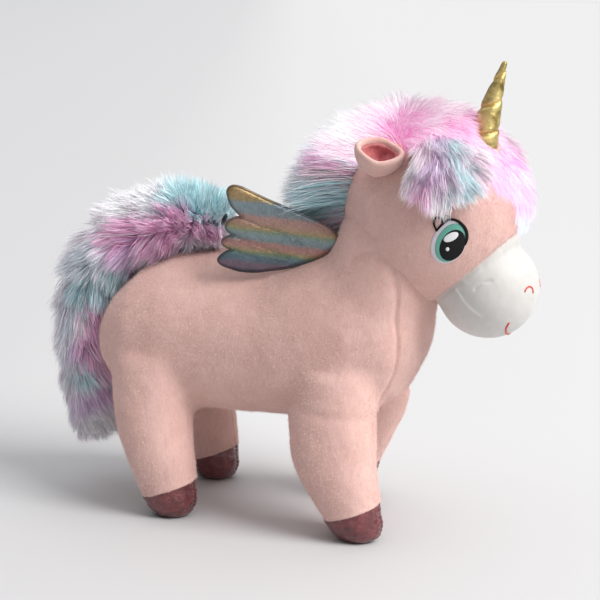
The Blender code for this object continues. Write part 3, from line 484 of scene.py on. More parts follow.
class Look:
    """A Principled material with short calls for its texture nodes."""

    def __init__(self, name, colour, roughness, metallic=0.0, **fixed):
        self.material = bpy.data.materials.new(name)
        self.material.use_nodes = True
        self.nodes = self.material.node_tree.nodes
        self.links = self.material.node_tree.links
        self.shader = self.nodes["Principled BSDF"]
        self.shader.inputs["Base Color"].default_value = (*colour, 1)
        self.shader.inputs["Roughness"].default_value = roughness
        self.shader.inputs["Metallic"].default_value = metallic
        for socket, value in fixed.items():
            self.shader.inputs[socket.replace("_", " ")].default_value = value
        self.place = self.nodes.new("ShaderNodeTexCoord").outputs["Object"]

    def uv(self, name):
        """A UV layer's two values and its vector."""
        node = self.nodes.new("ShaderNodeUVMap")
        node.uv_map = name
        split = self.nodes.new("ShaderNodeSeparateXYZ")
        self.links.new(node.outputs["UV"], split.inputs[0])
        return split.outputs[0], split.outputs[1], node.outputs["UV"]

    def stretched(self, scale):
        """Object coordinates scaled on each axis."""
        node = self.nodes.new("ShaderNodeMapping")
        node.inputs["Scale"].default_value = scale
        self.links.new(self.place, node.inputs["Vector"])
        return node.outputs[0]

    def noise(self, size, detail=3.0, harsh=0.5, place=None, bend=0.0):
        """Noise whose features are about this many millimetres."""
        node = self.nodes.new("ShaderNodeTexNoise")
        node.inputs["Scale"].default_value = 1 / (size * MM)
        node.inputs["Detail"].default_value = detail
        node.inputs["Roughness"].default_value = harsh
        node.inputs["Distortion"].default_value = bend
        self.links.new(self.place if place is None else place, node.inputs["Vector"])
        return node.outputs[0]

    def cells(self, size, feature="F1"):
        node = self.nodes.new("ShaderNodeTexVoronoi")
        node.feature = feature
        node.inputs["Scale"].default_value = 1 / (size * MM)
        self.links.new(self.place, node.inputs["Vector"])
        return node.outputs["Distance"]

    def maths(self, operation, first, second=0.0, third=0.0):
        node = self.nodes.new("ShaderNodeMath")
        node.operation = operation
        for socket, value in zip(node.inputs, (first, second, third)):
            if isinstance(value, bpy.types.NodeSocket):
                self.links.new(value, socket)
            else:
                socket.default_value = value
        return node.outputs[0]

    def ramp(self, value, stops, smooth=False):
        node = self.nodes.new("ShaderNodeValToRGB")
        node.color_ramp.interpolation = "EASE" if smooth else "LINEAR"
        elements = node.color_ramp.elements
        while len(elements) < len(stops):
            elements.new(0.5)
        for element, (at, colour) in zip(elements, stops):
            element.position = at
            element.color = (*colour, 1)
        self.links.new(value, node.inputs[0])
        return node.outputs[0]

    def mix(self, share, first, second):
        node = self.nodes.new("ShaderNodeMix")
        node.data_type = "RGBA"
        for socket, value in ((node.inputs[0], share), (node.inputs[6], first), (node.inputs[7], second)):
            if isinstance(value, bpy.types.NodeSocket):
                self.links.new(value, socket)
            elif isinstance(value, tuple):
                socket.default_value = (*value, 1)
            else:
                socket.default_value = value
        return node.outputs[2]

    def colour(self, socket):
        self.links.new(socket, self.shader.inputs["Base Color"])

    def set(self, name, socket):
        self.links.new(socket, self.shader.inputs[name])

    def bump(self, *layers):
        """Layers of (height socket, depth in millimetres, strength)."""
        last = None
        for height, depth, strength in layers:
            node = self.nodes.new("ShaderNodeBump")
            node.inputs["Strength"].default_value = strength
            node.inputs["Distance"].default_value = depth * MM
            self.links.new(height, node.inputs["Height"])
            if last is not None:
                self.links.new(last, node.inputs["Normal"])
            last = node.outputs[0]
        self.links.new(last, self.shader.inputs["Normal"])
        return self.material


def grey(value):
    return (value, value, value)


def plush_look():
    look = Look("pink_plush_pile", (0.62, 0.4, 0.36), 0.95, Sheen_Weight=0.35, Sheen_Roughness=0.35)
    look.shader.inputs["Sheen Tint"].default_value = (1.0, 0.84, 0.8, 1)
    brushed = look.noise(24, 4, 0.6, bend=0.6)
    fibres = look.noise(0.9, 4, 0.8)
    nap = look.noise(2.6, 5, 0.8, place=look.stretched((1.0, 1.0, 0.5)), bend=0.5)
    base = look.ramp(brushed, ((0.3, (0.70, 0.44, 0.39)), (0.7, (0.765, 0.505, 0.455))), True)
    # The nap noise darkens the pile in patches, painted shade, and the fine fibre noise adds paler flecks,
    # painted sheen.
    shaded = look.mix(look.ramp(nap, ((0.35, grey(0.4)), (0.56, grey(0.0)))), base, (0.60, 0.335, 0.285))
    tips = look.ramp(fibres, ((0.48, grey(0.0)), (0.7, grey(0.4))))
    look.colour(look.mix(tips, shaded, (0.88, 0.69, 0.65)))
    return look.bump((nap, 0.9, 0.5), (fibres, 0.5, 0.6))


def pile_look():
    return Look("pink_plush_fibre", (0.83, 0.60, 0.56), 0.9, Sheen_Weight=0.3).material


def velour_look():
    look = Look("white_velour", (0.74, 0.73, 0.71), 0.62, Sheen_Weight=0.25, Sheen_Roughness=0.5)
    weave = look.noise(0.7, 2, 0.5)
    dents = look.noise(9, 3, 0.5)
    # Darker where the dents sink in: painted shade in the dents.
    look.colour(look.ramp(dents, ((0.2, (0.58, 0.565, 0.545)), (0.8, (0.63, 0.62, 0.60))), True))
    return look.bump((dents, 0.5, 0.25), (weave, 0.2, 0.35))


def leatherette_look():
    look = Look("maroon_leatherette", (0.17, 0.05, 0.055), 0.26, 0.3, Coat_Weight=1.0, Coat_Roughness=0.1)
    crinkle = look.cells(1.7, "DISTANCE_TO_EDGE")
    creases = look.noise(3.2, 6, 0.75, bend=2.2)
    glitter = look.cells(0.5)
    patch = look.noise(7, 4, 0.6)
    stops = ((0.3, (0.10, 0.010, 0.014)), (0.55, (0.18, 0.022, 0.028)), (0.8, (0.28, 0.06, 0.058)))
    base = look.ramp(patch, stops)
    # The creases are painted almost black: painted shade in the creases.
    painted_shade = look.ramp(creases, ((0.36, grey(0.75)), (0.52, grey(0.0))))
    look.colour(look.mix(painted_shade, base, (0.05, 0.008, 0.011)))
    look.set("Roughness", look.ramp(creases, ((0.35, grey(0.55)), (0.65, grey(0.2)))))
    return look.bump((creases, 1.1, 0.8), (crinkle, 0.5, 0.6), (glitter, 0.2, 0.4))


def gold_look(name, base, deep):
    look = Look(name, base, 0.34, 0.9)
    wrinkles = look.noise(4.5, 6, 0.7, place=look.stretched((0.7, 0.7, 2.2)), bend=1.5)
    fine = look.noise(0.8, 3, 0.6)
    tone = look.noise(9, 3, 0.5)
    light = tuple(min(1.0, channel * 1.25 + 0.05) for channel in base)
    body = look.ramp(tone, ((0.3, deep), (0.5, base), (0.75, light)))
    # The low parts of the wrinkles take the deep colour: painted shade in the wrinkles.
    look.colour(look.mix(look.ramp(wrinkles, ((0.3, grey(0.6)), (0.45, grey(0.0)))), body, deep))
    look.set("Roughness", look.ramp(fine, ((0.3, grey(0.28)), (0.7, grey(0.5)))))
    return look.bump((wrinkles, 0.8, 0.6), (fine, 0.25, 0.5))


def satin_look(name, colour, shade, matt=False):
    """Embroidery: close parallel threads."""
    look = Look(name, colour, 0.6 if matt else 0.42, Sheen_Weight=0.0 if matt else 0.15)
    if matt:
        look.shader.inputs["Specular IOR Level"].default_value = 0.15
    wave = look.nodes.new("ShaderNodeTexWave")
    wave.inputs["Scale"].default_value = 620
    wave.inputs["Distortion"].default_value = 3.5
    wave.inputs["Detail"].default_value = 3
    wave.bands_direction = "Z"
    look.links.new(look.place, wave.inputs["Vector"])
    look.colour(look.mix(look.ramp(wave.outputs["Fac"], ((0.1, grey(0.6)), (0.6, grey(0.0)))), colour, shade))
    return look.bump((wave.outputs["Fac"], 0.3, 0.6))


def coral_look():
    look = Look("coral_satin", (0.5, 0.14, 0.15), 0.5, Sheen_Weight=0.5, Sheen_Roughness=0.35)
    folds = look.noise(6, 4, 0.6)
    weave = look.noise(0.6, 2, 0.5)
    # Darker in the hollows of the folds and paler on their ridges: painted shade and painted light.
    look.colour(look.ramp(folds, ((0.25, (0.33, 0.07, 0.085)), (0.8, (0.6, 0.2, 0.2))), True))
    return look.bump((folds, 0.9, 0.5), (weave, 0.2, 0.4))


FUR_HUES = (
    (0.03, (0.93, 0.94, 0.97)),
    (0.16, (0.96, 0.77, 0.88)),
    (0.30, (0.96, 0.46, 0.76)),
    (0.44, (0.75, 0.48, 0.80)),
    (0.56, (0.70, 0.76, 0.84)),
    (0.68, (0.53, 0.85, 0.90)),
    (0.80, (0.33, 0.59, 0.65)),
    (0.93, (0.48, 0.20, 0.36)),
)
WHITE, BLUSH, PINK, LILAC, MIST, AQUA, TEAL, PLUM = (stop for stop, _ in FUR_HUES)
ROSE = (BLUSH + PINK) / 2


def fur_look(name, tone, sheen):
    """Colour across the palette by the strand's hue, paler towards its tip."""
    look = Look(name, (0.7, 0.5, 0.65), 0.48, Sheen_Weight=sheen, Sheen_Roughness=0.5)
    hue, along, _ = look.uv("OFBake")
    # A tone below 1 dims the whole palette: painted shade.
    base = look.ramp(hue, [(at, tuple(tone * c for c in colour)) for at, colour in FUR_HUES])
    tips = look.ramp(along, ((0.45, grey(0.0)), (0.8, grey(0.15)), (1.0, grey(0.45))))
    look.colour(look.mix(tips, base, (0.94 * tone, 0.93 * tone, 0.95 * tone)))
    return look.material


def holographic_look(name, painted_shade):
    """Metallic film whose colour bands run along the feathers."""
    look = Look(name, (0.4, 0.4, 0.42), 0.3, 0.75, Coat_Weight=0.5, Coat_Roughness=0.2)
    along, up, plan = look.uv("WingPlan")
    ripple = look.nodes.new("ShaderNodeTexNoise")
    ripple.inputs["Scale"].default_value = 9
    look.links.new(plan, ripple.inputs["Vector"])
    sway = look.maths("MULTIPLY_ADD", ripple.outputs[0], 0.03, -0.015)
    across = look.maths("ADD", look.maths("MULTIPLY_ADD", along, -0.11, up), sway)
    level = look.maths("MULTIPLY_ADD", across, 1.613, 0.5)
    bands = (
        (0.00, (0.05, 0.05, 0.07)),
        (0.05, (0.15, 0.10, 0.14)),
        (0.10, (0.16, 0.11, 0.14)),
        (0.145, (0.11, 0.16, 0.20)),
        (0.19, (0.12, 0.20, 0.23)),
        (0.235, (0.16, 0.24, 0.14)),
        (0.275, (0.36, 0.26, 0.14)),
        (0.32, (0.42, 0.22, 0.18)),
        (0.37, (0.39, 0.21, 0.19)),
        (0.41, (0.20, 0.26, 0.27)),
        (0.475, (0.22, 0.30, 0.31)),
        (0.515, (0.22, 0.29, 0.20)),
        (0.555, (0.40, 0.29, 0.15)),
        (0.60, (0.44, 0.27, 0.20)),
        (0.69, (0.43, 0.25, 0.22)),
        (0.74, (0.22, 0.27, 0.29)),
        (0.855, (0.22, 0.30, 0.33)),
        (0.90, (0.36, 0.26, 0.12)),
        (0.97, (0.40, 0.27, 0.12)),
    )
    # The edge is a darker copy of the same bands: painted shade on the rolled edge.
    if painted_shade:
        bands = tuple((at, tuple(0.42 * c for c in colour)) for at, colour in bands)
    crinkle = look.noise(2.4, 5, 0.7, bend=1.2)
    fine = look.cells(0.7)
    base = look.ramp(level, bands)
    # Darker in the low parts of the crinkles: painted shade.
    look.colour(look.mix(look.ramp(crinkle, ((0.4, grey(0.35)), (0.6, grey(0.0)))), base, (0.07, 0.06, 0.08)))
    look.set("Roughness", look.ramp(crinkle, ((0.3, grey(0.5)), (0.7, grey(0.25)))))
    return look.bump((crinkle, 0.7, 0.6), (fine, 0.2, 0.4))


def floor_look():
    """A pale floor with painted shade: a little darker to one side, where the light falls off."""
    look = Look("studio_floor", (0.8, 0.79, 0.8), 0.6)
    split = look.nodes.new("ShaderNodeSeparateXYZ")
    look.links.new(look.place, split.inputs[0])
    across = look.maths("MULTIPLY_ADD", split.outputs[1], -0.234, 0.5)
    across = look.maths("MULTIPLY_ADD", split.outputs[0], 0.09, across)
    stops = (
        (0.0, (0.45, 0.455, 0.472)),
        (0.42, (0.495, 0.495, 0.508)),
        (0.5, (0.565, 0.567, 0.577)),
        (0.58, (0.585, 0.587, 0.595)),
    )
    look.colour(look.ramp(across, stops))
    return look.material


PLUSH = plush_look()
PILE = pile_look()
VELOUR = velour_look()
LEATHERETTE = leatherette_look()
GOLD = gold_look("gold_lame", (0.60, 0.48, 0.19), (0.20, 0.14, 0.035))
GOLD_THREAD = gold_look("gold_thread", (0.62, 0.44, 0.14), (0.25, 0.15, 0.03))
CORAL = coral_look()
CORAL_THREAD = satin_look("coral_thread", (0.78, 0.09, 0.06), (0.42, 0.03, 0.02))
EYE_LOOKS = {
    "white": satin_look("eye_white_satin", (0.78, 0.74, 0.8), (0.52, 0.46, 0.56)),
    "iris": satin_look("eye_iris_satin", (0.16, 0.5, 0.4), (0.06, 0.27, 0.22)),
    "pupil": satin_look("eye_pupil_satin", (0.012, 0.012, 0.014), grey(0.004), True),
    "highlight": satin_look("eye_highlight_satin", (0.9, 0.9, 0.92), (0.68, 0.68, 0.72)),
    "lash_line": satin_look("eye_line_satin", (0.014, 0.012, 0.013), grey(0.004), True),
}
FUR = fur_look("pastel_fur", 1.0, 0.6)
# The crown's strands cast no shadows, so its palette is dimmed to 0.86: painted shade for the shadows they
# would cast on each other.
CROWN_FUR = fur_look("pastel_crown_fur", 0.86, 0.4)
HOLOGRAPHIC = holographic_look("holographic_fabric", False)
HOLOGRAPHIC_EDGE = holographic_look("holographic_edge", True)


# Short pile ------------------------------------------------------------------------------------


def skin_samples(skin, count, picker):
    """Random places and normals spread evenly over a skin."""
    mesh = skin.data
    mesh.calc_loop_triangles()
    corners = np.empty(len(mesh.loop_triangles) * 3, np.int32)
    mesh.loop_triangles.foreach_get("vertices", corners)
    a, b, c = points_of(skin)[corners.reshape(-1, 3)].transpose(1, 0, 2)
    na, nb, nc = normals_of(skin)[corners.reshape(-1, 3)].transpose(1, 0, 2)
    area = np.linalg.norm(np.cross(b - a, c - a), axis=1)
    chosen = picker.choice(len(area), count, p=area / area.sum())
    u, v = picker.uniform(0, 1, (2, count, 1))
    over = u + v > 1
    u, v = np.where(over, 1 - u, u), np.where(over, 1 - v, v)
    places = a[chosen] * (1 - u - v) + b[chosen] * u + c[chosen] * v
    return places, unit(na[chosen] * (1 - u - v) + nb[chosen] * u + nc[chosen] * v)


def add_pile(name, skin, count, seed, hidden):
    """Loose fibre ends standing on a skin, brushed down and back; none where hidden says so."""
    picker = np.random.default_rng(seed)
    places, normals = skin_samples(skin, count, picker)
    shown = ~hidden(places)
    places, normals = places[shown], normals[shown]
    count = len(places)
    brushed = unit(BRUSHED - normals * (normals @ BRUSHED)[:, None])
    lean = unit(normals * 0.75 + brushed * 0.7 + picker.normal(0, 0.38, (count, 3)))
    tips = places + lean * picker.uniform(1.1, 2.3, (count, 1))
    side = unit(np.cross(lean, picker.normal(0, 1, (count, 3)))) * 0.13
    feet = places - normals * 0.3
    points = np.stack((feet - side, feet + side, tips), axis=1).reshape(-1, 3)
    return mesh_object(name, points, np.arange(count * 3).reshape(-1, 3).tolist(), [PILE], False)


# Body -------------------------------------------------------------------------------------------


def body_shapes():
    """Torso, neck and legs, each a closed shape that overlaps its neighbours."""
    torso = [
        oval_ring((0, y, (top + low) / 2), X_AXIS, Z_AXIS, half_width, (top - low) / 2, 40)
        for y, top, low, half_width in TORSO
    ]
    neck = [
        oval_ring((0, y, z), X_AXIS, turn_x(Y_AXIS, lean), half_width, half_depth, 32)
        for y, z, half_width, half_depth, lean in NECK
    ]
    shapes = [loft("torso", torso), loft("neck", neck)]
    for name, (side, sections, shift) in LEGS.items():
        leg = [
            oval_ring((side * x, y + shift, z), X_AXIS, Y_AXIS, half_width, half_length, 24, 2.1)
            for z, y, half_length, half_width, x in sections
        ]
        shapes.append(loft(name, leg))
    return shapes


def seam_depths(points):
    """How deep each sewn seam and stuffing crease of the body pulls in."""
    x, y, z = points.T
    side = np.abs(x)
    chest_half = 32 + (z - CHEST_FOOT) * 24 / 167
    ahead = step_between(-66, -72, y)
    on_shoulder = step_between(-25, -36, y) * step_between(-30, -38, -side)
    lines = (  # gap to the line, where it runs, depth, half width
        (side - LEG_SEAM_X, step_between(98, 88, z), 1.5, 1.3),
        (side - chest_half, ahead * step_between(90, 96, z), 1.6, 1.4),
        (z - CHEST_FOOT, step_between(34, 30, side) * ahead, 1.4, 1.3),
        (side, step_between(150, 165, z) * step_between(-66, -50, y), 1.1, 1.2),
        (side, step_between(100, 120, y), 1.1, 1.2),
        (z - 99 - 0.10 * (y + 60), on_shoulder, 0.8, 4.2),
    )
    depth = np.zeros(len(points))
    for gap, where, deep, wide in lines:
        depth = np.maximum(depth, deep * where * np.exp(-((gap / wide) ** 2)))
    return depth


def leg_place(side, sections, shift, height):
    """Centre of a leg at a height."""
    x, y = side * table_value(sections, height, 4), table_value(sections, height, 1) + shift
    return np.array((x, y, height))


def hoof_seam(leg):
    """Point and upward normal of the tilted seam between a leg and its hoof."""
    return leg_place(*leg, HOOF_SEAM_Z), turn_x(Z_AXIS, -HOOF_SEAM_TILT)


def tuck_into_hooves(points):
    """Draws the plush in below each hoof's seam, out of sight."""
    made = points.copy()
    for leg in LEGS.values():
        centre, normal = hoof_seam(leg)
        near = (np.abs(points - centre) < (34, 42, 27)).all(axis=1)
        below = -(points - centre) @ normal
        hem = np.exp(-(((below + 1.2) / 1.1) ** 2)) * 0.5
        share = 0.24 * step_between(-0.3, 2.4, below)
        rel = points - centre
        radial = rel - (rel @ normal)[:, None] * normal
        out = radial / np.maximum(np.linalg.norm(radial, axis=1, keepdims=True), 1e-6)
        moved = points - radial * share[:, None] + out * hem[:, None]
        moved[:, 2] = np.maximum(moved[:, 2], 6.0)
        made[near] = moved[near]
    return made


def out_of_head(points):
    """How far points lie from the head's centre, 1 at its surface."""
    return np.linalg.norm((points - HEAD) / HEAD_RADII, axis=1)


def push_out_of_ball(points, centre, radii):
    rel = (points - centre) / radii
    length = np.linalg.norm(rel, axis=1, keepdims=True)
    return np.where(length < 1, centre + rel / np.maximum(length, 1e-6) * radii, points)


def build_body():
    skin = melted("body_plush", body_shapes(), 4.0, 10, [PLUSH])
    move_points(skin, points_of(skin) - normals_of(skin) * 0.8)
    puffed(skin, seam_depths(points_of(skin)) > SEAM_PULL, 2.2)
    subdivide(skin, 2)
    points = points_of(skin)
    normals = normals_of(skin)
    lumps = rough(points, 26, 1) * 0.7 + rough(points, 9, 2) * 0.28
    points = points + normals * (lumps - seam_depths(points))[:, None]
    points = push_out_of_ball(points, MUZZLE, MUZZLE_RADII + 0.6)
    points = tuck_into_hooves(points)
    move_points(skin, points)
    drop_points(skin, out_of_head(points) < 0.90)
    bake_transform(skin)
    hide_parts("side_panel_right", "side_panel_left", "chest_panel", "belly_gusset", "body_stuffing")

    def hidden(places):
        return out_of_head(places) < 1.0

    pile = add_pile("body_pile", skin, BODY_FIBRES, 41, hidden)
    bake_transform(pile)
    return skin


def hoof_size(sections, height):
    """Half length and half width of a hoof at a height."""
    share = table_value(HOOF_BOWL, height, 1)
    at = max(height, HOOF_SEAM_Z)
    return table_value(sections, at, 2) * share, table_value(sections, at, 3) * share


def below_seam(stack, centre, normal):
    """A stack of rings cut off by the seam plane, and turned in under the plush above it."""
    above = (stack - centre) @ normal
    made = stack.copy()
    for column in range(stack.shape[1]):
        row = int(np.argmax(above[:, column] > 0))
        low, high = above[row - 1, column], above[row, column]
        edge = stack[row - 1, column] + (stack[row, column] - stack[row - 1, column]) * (-low / (high - low))
        left = len(stack) - row
        inward = np.linspace(0, 0.2, left)[:, None]
        made[row:, column] = edge + (centre + normal * 3 - edge) * inward
    return made


def build_hoof(name, leg):
    side, sections, shift = leg
    seam_centre, seam_normal = hoof_seam(leg)
    proud = 0.5
    rings = []
    for height in np.concatenate(([0.0, 0.15, 0.6, 1.5], np.linspace(2.4, 40, 60))):
        half_length, half_width = hoof_size(sections, height)
        centre = leg_place(*leg, height)
        rings.append(oval_ring(centre, X_AXIS, Y_AXIS, half_width + proud, half_length + proud, 96, 2.1))
    stack = below_seam(np.array(rings), seam_centre, seam_normal)
    core = seam_centre - (0, 0, 6)
    out = unit(stack - core)
    toe = np.arctan2(stack[..., 0] - seam_centre[0], -(stack[..., 1] - seam_centre[1])) * 24
    seam = 1.4 * np.exp(-((toe / 0.9) ** 2))
    pucker = 0.4 * np.exp(-((toe / 5) ** 2)) * np.sin(stack[..., 2] * 1.9 + side)
    flat = stack.reshape(-1, 3)
    crinkle = (rough(flat, 6, 3 + side) * 0.55 + rough(flat, 2.4, 5 + shift) * 0.4).reshape(toe.shape)
    worn = step_between(1.0, 4.0, stack[..., 2])
    stack = stack + out * ((crinkle + pucker - seam) * worn)[..., None]
    obj = loft(f"hoof_{name}", list(stack), [LEATHERETTE])
    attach(obj, "body")
    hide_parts(f"hoof_cover_{name}", f"hoof_sole_{name}")


# Head -------------------------------------------------------------------------------------------


def muzzle_seam():
    """Point and forward normal of the seam between pile and muzzle."""
    normal = unit(np.cross(MUZZLE_SEAM_LOW - MUZZLE_SEAM_TOP, X_AXIS))
    return MUZZLE_SEAM_TOP, normal if normal[1] < 0 else -normal


MUZZLE_RIDGE = ((-33.5, -143.8, 197.9), (-36.6, -152.4, 186.6), (-35.0, -164.1, 176.8))
MUZZLE_DIMPLE = ((-37.5, -160.6, 198.5), (-36.3, -165.3, 203.1), (-34.7, -171.5, 204.7))


def build_head():
    shapes = [ball("skull", HEAD, HEAD_RADII), ball("snout", MUZZLE, MUZZLE_RADII)]
    skin = melted("head_plush", shapes, 3.0, 6, [PLUSH])
    point, normal = muzzle_seam()
    move_points(skin, points_of(skin) - normals_of(skin) * 0.6)
    ahead = (points_of(skin) - point) @ normal
    puffed(skin, np.abs(ahead) < 2.5, 1.6)
    subdivide(skin, 2)
    bm = bmesh.new()
    bm.from_mesh(skin.data)
    bmesh.ops.bisect_plane(
        bm, geom=bm.verts[:] + bm.edges[:] + bm.faces[:], plane_co=Vector(point) * MM, plane_no=Vector(normal)
    )
    bm.to_mesh(skin.data)
    bm.free()
    points = points_of(skin)
    ahead = (points - point) @ normal
    side = np.abs(points[:, 0])
    groove = 1.7 * np.exp(-((ahead / 1.7) ** 2))
    strip = 0.5 * np.exp(-(((side - 15) / 1.2) ** 2)) * (ahead < 0) * step_between(222, 230, points[:, 2])
    lumps = (rough(points, 24, 4) * 0.5 + rough(points, 8, 5) * 0.2) * (ahead < 0)
    mirrored_side = points * ACROSS_X
    for raised, run in ((0.8, MUZZLE_RIDGE), (-0.9, MUZZLE_DIMPLE)):
        run = [np.asarray(p) for p in smooth_run(run, 6)]
        gap = np.minimum(distance_to_run(points, run), distance_to_run(mirrored_side, run))
        lumps = lumps + raised * np.exp(-((gap / 1.5) ** 2))
    move_points(skin, points + normals_of(skin) * (lumps - groove - strip)[:, None])
    muzzle = new_object("muzzle_velour", skin.data.copy())
    muzzle.data.materials.clear()
    muzzle.data.materials.append(VELOUR)
    drop_points(skin, ahead > 1e-3)
    drop_points(muzzle, ahead < -1e-3)
    for obj, look, nodes in (
        (skin, "pink_plush", ("head_panel_right", "head_panel_left", "head_gusset", "head_stuffing")),
        (muzzle, "white_velour", ("muzzle_cover", "muzzle_stuffing")),
    ):
        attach(obj, "head")
        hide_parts(*nodes)

    def hidden(places):
        under_hair = np.linalg.norm(places - (0, -125, 318), axis=1) < 40
        return under_hair | (np.linalg.norm((places - EYE_CENTRE) * (1, 1, 0.75), axis=1) < 13.5)

    pile = add_pile("head_pile", skin, HEAD_FIBRES, 42, hidden)
    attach(pile, "head")
    return skin, muzzle


class Cheek:
    """Lays flat stitched shapes onto a surface, seen along the normal at a centre."""

    def __init__(self, tree, centre):
        self.tree = tree
        self.centre = centre
        self.normal = unit((centre - HEAD) / HEAD_RADII**2)
        self.up = unit(Z_AXIS - self.normal * self.normal[2])
        self.forward = np.cross(self.up, self.normal)

    def point(self, place, lift):
        start = self.centre + self.forward * place[0] + self.up * place[1] + self.normal * 40
        hit, facing = self.tree.ray_cast(Vector(start), Vector(-self.normal))[:2]
        return np.array(hit) + unit(np.array(facing) * 0.5 + self.normal * 0.5) * lift


def oval_point(spec, turn, grow=0.0):
    """A point of the oval ((forward, up), (half forward, half up), lean in degrees)."""
    (f0, u0), (half_f, half_u), lean = spec
    lean = math.radians(lean)
    a, b = (half_f + grow) * math.cos(turn), (half_u + grow) * math.sin(turn)
    return f0 + a * math.cos(lean) + b * math.sin(lean), u0 - a * math.sin(lean) + b * math.cos(lean)


def stitched_patch(name, cheek, spec, lift, dome, look, count):
    """A raised oval of stitches, closed behind."""
    rows = 9
    turns = full_turn(count)
    centre = np.array(spec[0])
    outline = [np.array(oval_point(spec, t)) - centre for t in turns]
    rings = [np.array([cheek.point(oval_point(spec, t, 0.3), -0.8) for t in turns])]
    for row in range(rows):
        share = 1 - (row / rows) ** 1.5
        height = lift + dome * math.sqrt(max(0.0, 1 - share**4))
        rings.append(np.array([cheek.point(centre + place * share, height) for place in outline]))
    return loft(name, rings, [look])


def stitched_line(name, cheek, places, widths, lift, look):
    """A raised line of stitches of changing width along places."""
    run = smooth_run(places, 6)
    wide = smooth_run([(w, 0) for w in widths], 6)
    points = [cheek.point(place, lift) for place in run]
    return tube(name, points, np.array([w[0] for w in wide]), look, 8)


LINE_PLACES = ((-2.5, 17.0), (3.4, 16.9), (8.2, 13.8), (11.5, 9.0), (12.3, 3.0), (11.3, -2.0))
LINE_WIDTHS = (0.7, 0.95, 1.2, 1.35, 1.2, 0.5)
LASHES = (
    (((-9.1, 8.6), (-11.3, 14.0), (-10.2, 18.0), (-6.8, 18.0), (-5.2, 14.6)), (0.75, 0.8, 0.75, 0.8, 0.7)),
    (((-4.4, 15.2), (-4.2, 18.6), (-1.2, 19.6), (0.4, 17.0)), (0.7, 0.7, 0.7, 0.6)),
    (((-9.6, 8.6), (-6.8, 12.2), (-3.4, 15.6), (-0.5, 17.4)), (0.6, 0.8, 0.9, 0.9)),
)


def build_eye(tree):
    cheek = Cheek(tree, EYE_CENTRE)
    pieces = []
    for slot, part, spec, lift, dome, count in (
        ("white", "white", EYE_WHITE, 0.35, 0.35, 72),
        ("iris", "iris", EYE_IRIS, 0.75, 0.35, 72),
        ("pupil", "pupil", EYE_PUPIL, 1.1, 0.3, 72),
        ("highlight", "highlight", EYE_SHINE, 1.45, 0.35, 72),
        ("highlight", "glint", EYE_GLINT, 1.35, 0.25, 32),
    ):
        patch = stitched_patch(f"eye_{part}_right", cheek, spec, lift, dome, EYE_LOOKS[slot], count)
        pieces.append((slot, patch))
    lines = [("line", LINE_PLACES, LINE_WIDTHS, 0.5)]
    lines += [(f"lash_{index}", places, widths, 0.4) for index, (places, widths) in enumerate(LASHES)]
    for part, places, widths, lift in lines:
        line = stitched_line(f"eye_{part}_right", cheek, places, widths, lift, EYE_LOOKS["lash_line"])
        pieces.append(("lash_line", line))
    for slot, right in pieces:
        left = mirrored(right, right.name.replace("right", "left"))
        for obj, side in ((right, "right"), (left, "left")):
            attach(obj, "head")
            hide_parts(f"eye_{slot}_{side}")


def thread_run(tree, places):
    """Places laid on the muzzle, each along its line from the muzzle's centre."""
    run = []
    for place in places:
        aim = unit(np.asarray(place) - MUZZLE)
        hit = tree.ray_cast(Vector(MUZZLE + aim * 90), Vector(-aim))[0]
        run.append(np.array(hit))
    return run


NOSTRIL_ARCH = (
    (-11.2, -199.2, 192.9),
    (-12.2, -198.8, 196.8),
    (-15.0, -197.0, 198.6),
    (-18.4, -195.4, 197.8),
    (-20.4, -194.4, 195.4),
)
MOUTH_LINE = ((-24, -184, 171), (-21, -181, 165.3), (-12, -178.5, 161.3), (0, -177.4, 159.8))


def build_face_threads(tree):
    near = [np.asarray(p, float) for p in MOUTH_LINE]
    mouth = smooth_run(near + [p * ACROSS_X for p in near[-2::-1]], 8)
    nostril = thread_run(tree, smooth_run(NOSTRIL_ARCH, 5))
    right = tube("nostril_thread_right", nostril, 0.7, CORAL_THREAD)
    threads = [
        ("nostril_stitch_right", right),
        ("nostril_stitch_left", mirrored(right, "nostril_thread_left")),
        ("mouth_stitch", tube("mouth_thread", thread_run(tree, mouth), 0.8, CORAL_THREAD)),
    ]
    for node, obj in threads:
        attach(obj, "head")
        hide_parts(node)


# Horn -------------------------------------------------------------------------------------------


def horn_place(share, turn, radius):
    """A point of the slightly bent horn, at a share of its length and a radius from its axis."""
    axis = unit(HORN_TIP - HORN_BASE)
    ahead = np.cross(axis, X_AXIS)
    length = np.linalg.norm(HORN_TIP - HORN_BASE)
    bend = ahead * (3.0 * share * (1 - share))
    outward = X_AXIS * math.cos(turn) + ahead * math.sin(turn)
    return HORN_BASE + axis * (length * share) + bend + outward * radius


def horn_radius(share, turn):
    """The horn's radius, drawn in along the spiral groove."""
    radius = HORN_TIP_RADIUS + (HORN_RADIUS - HORN_TIP_RADIUS) * (1 - share) ** 0.9
    phase = (share * HORN_TURNS - turn / (2 * math.pi)) % 1.0
    groove = HORN_GROOVE * math.exp(-((min(phase, 1 - phase) / 0.075) ** 2))
    return max(0.35, radius - groove * (1 - 0.6 * share))


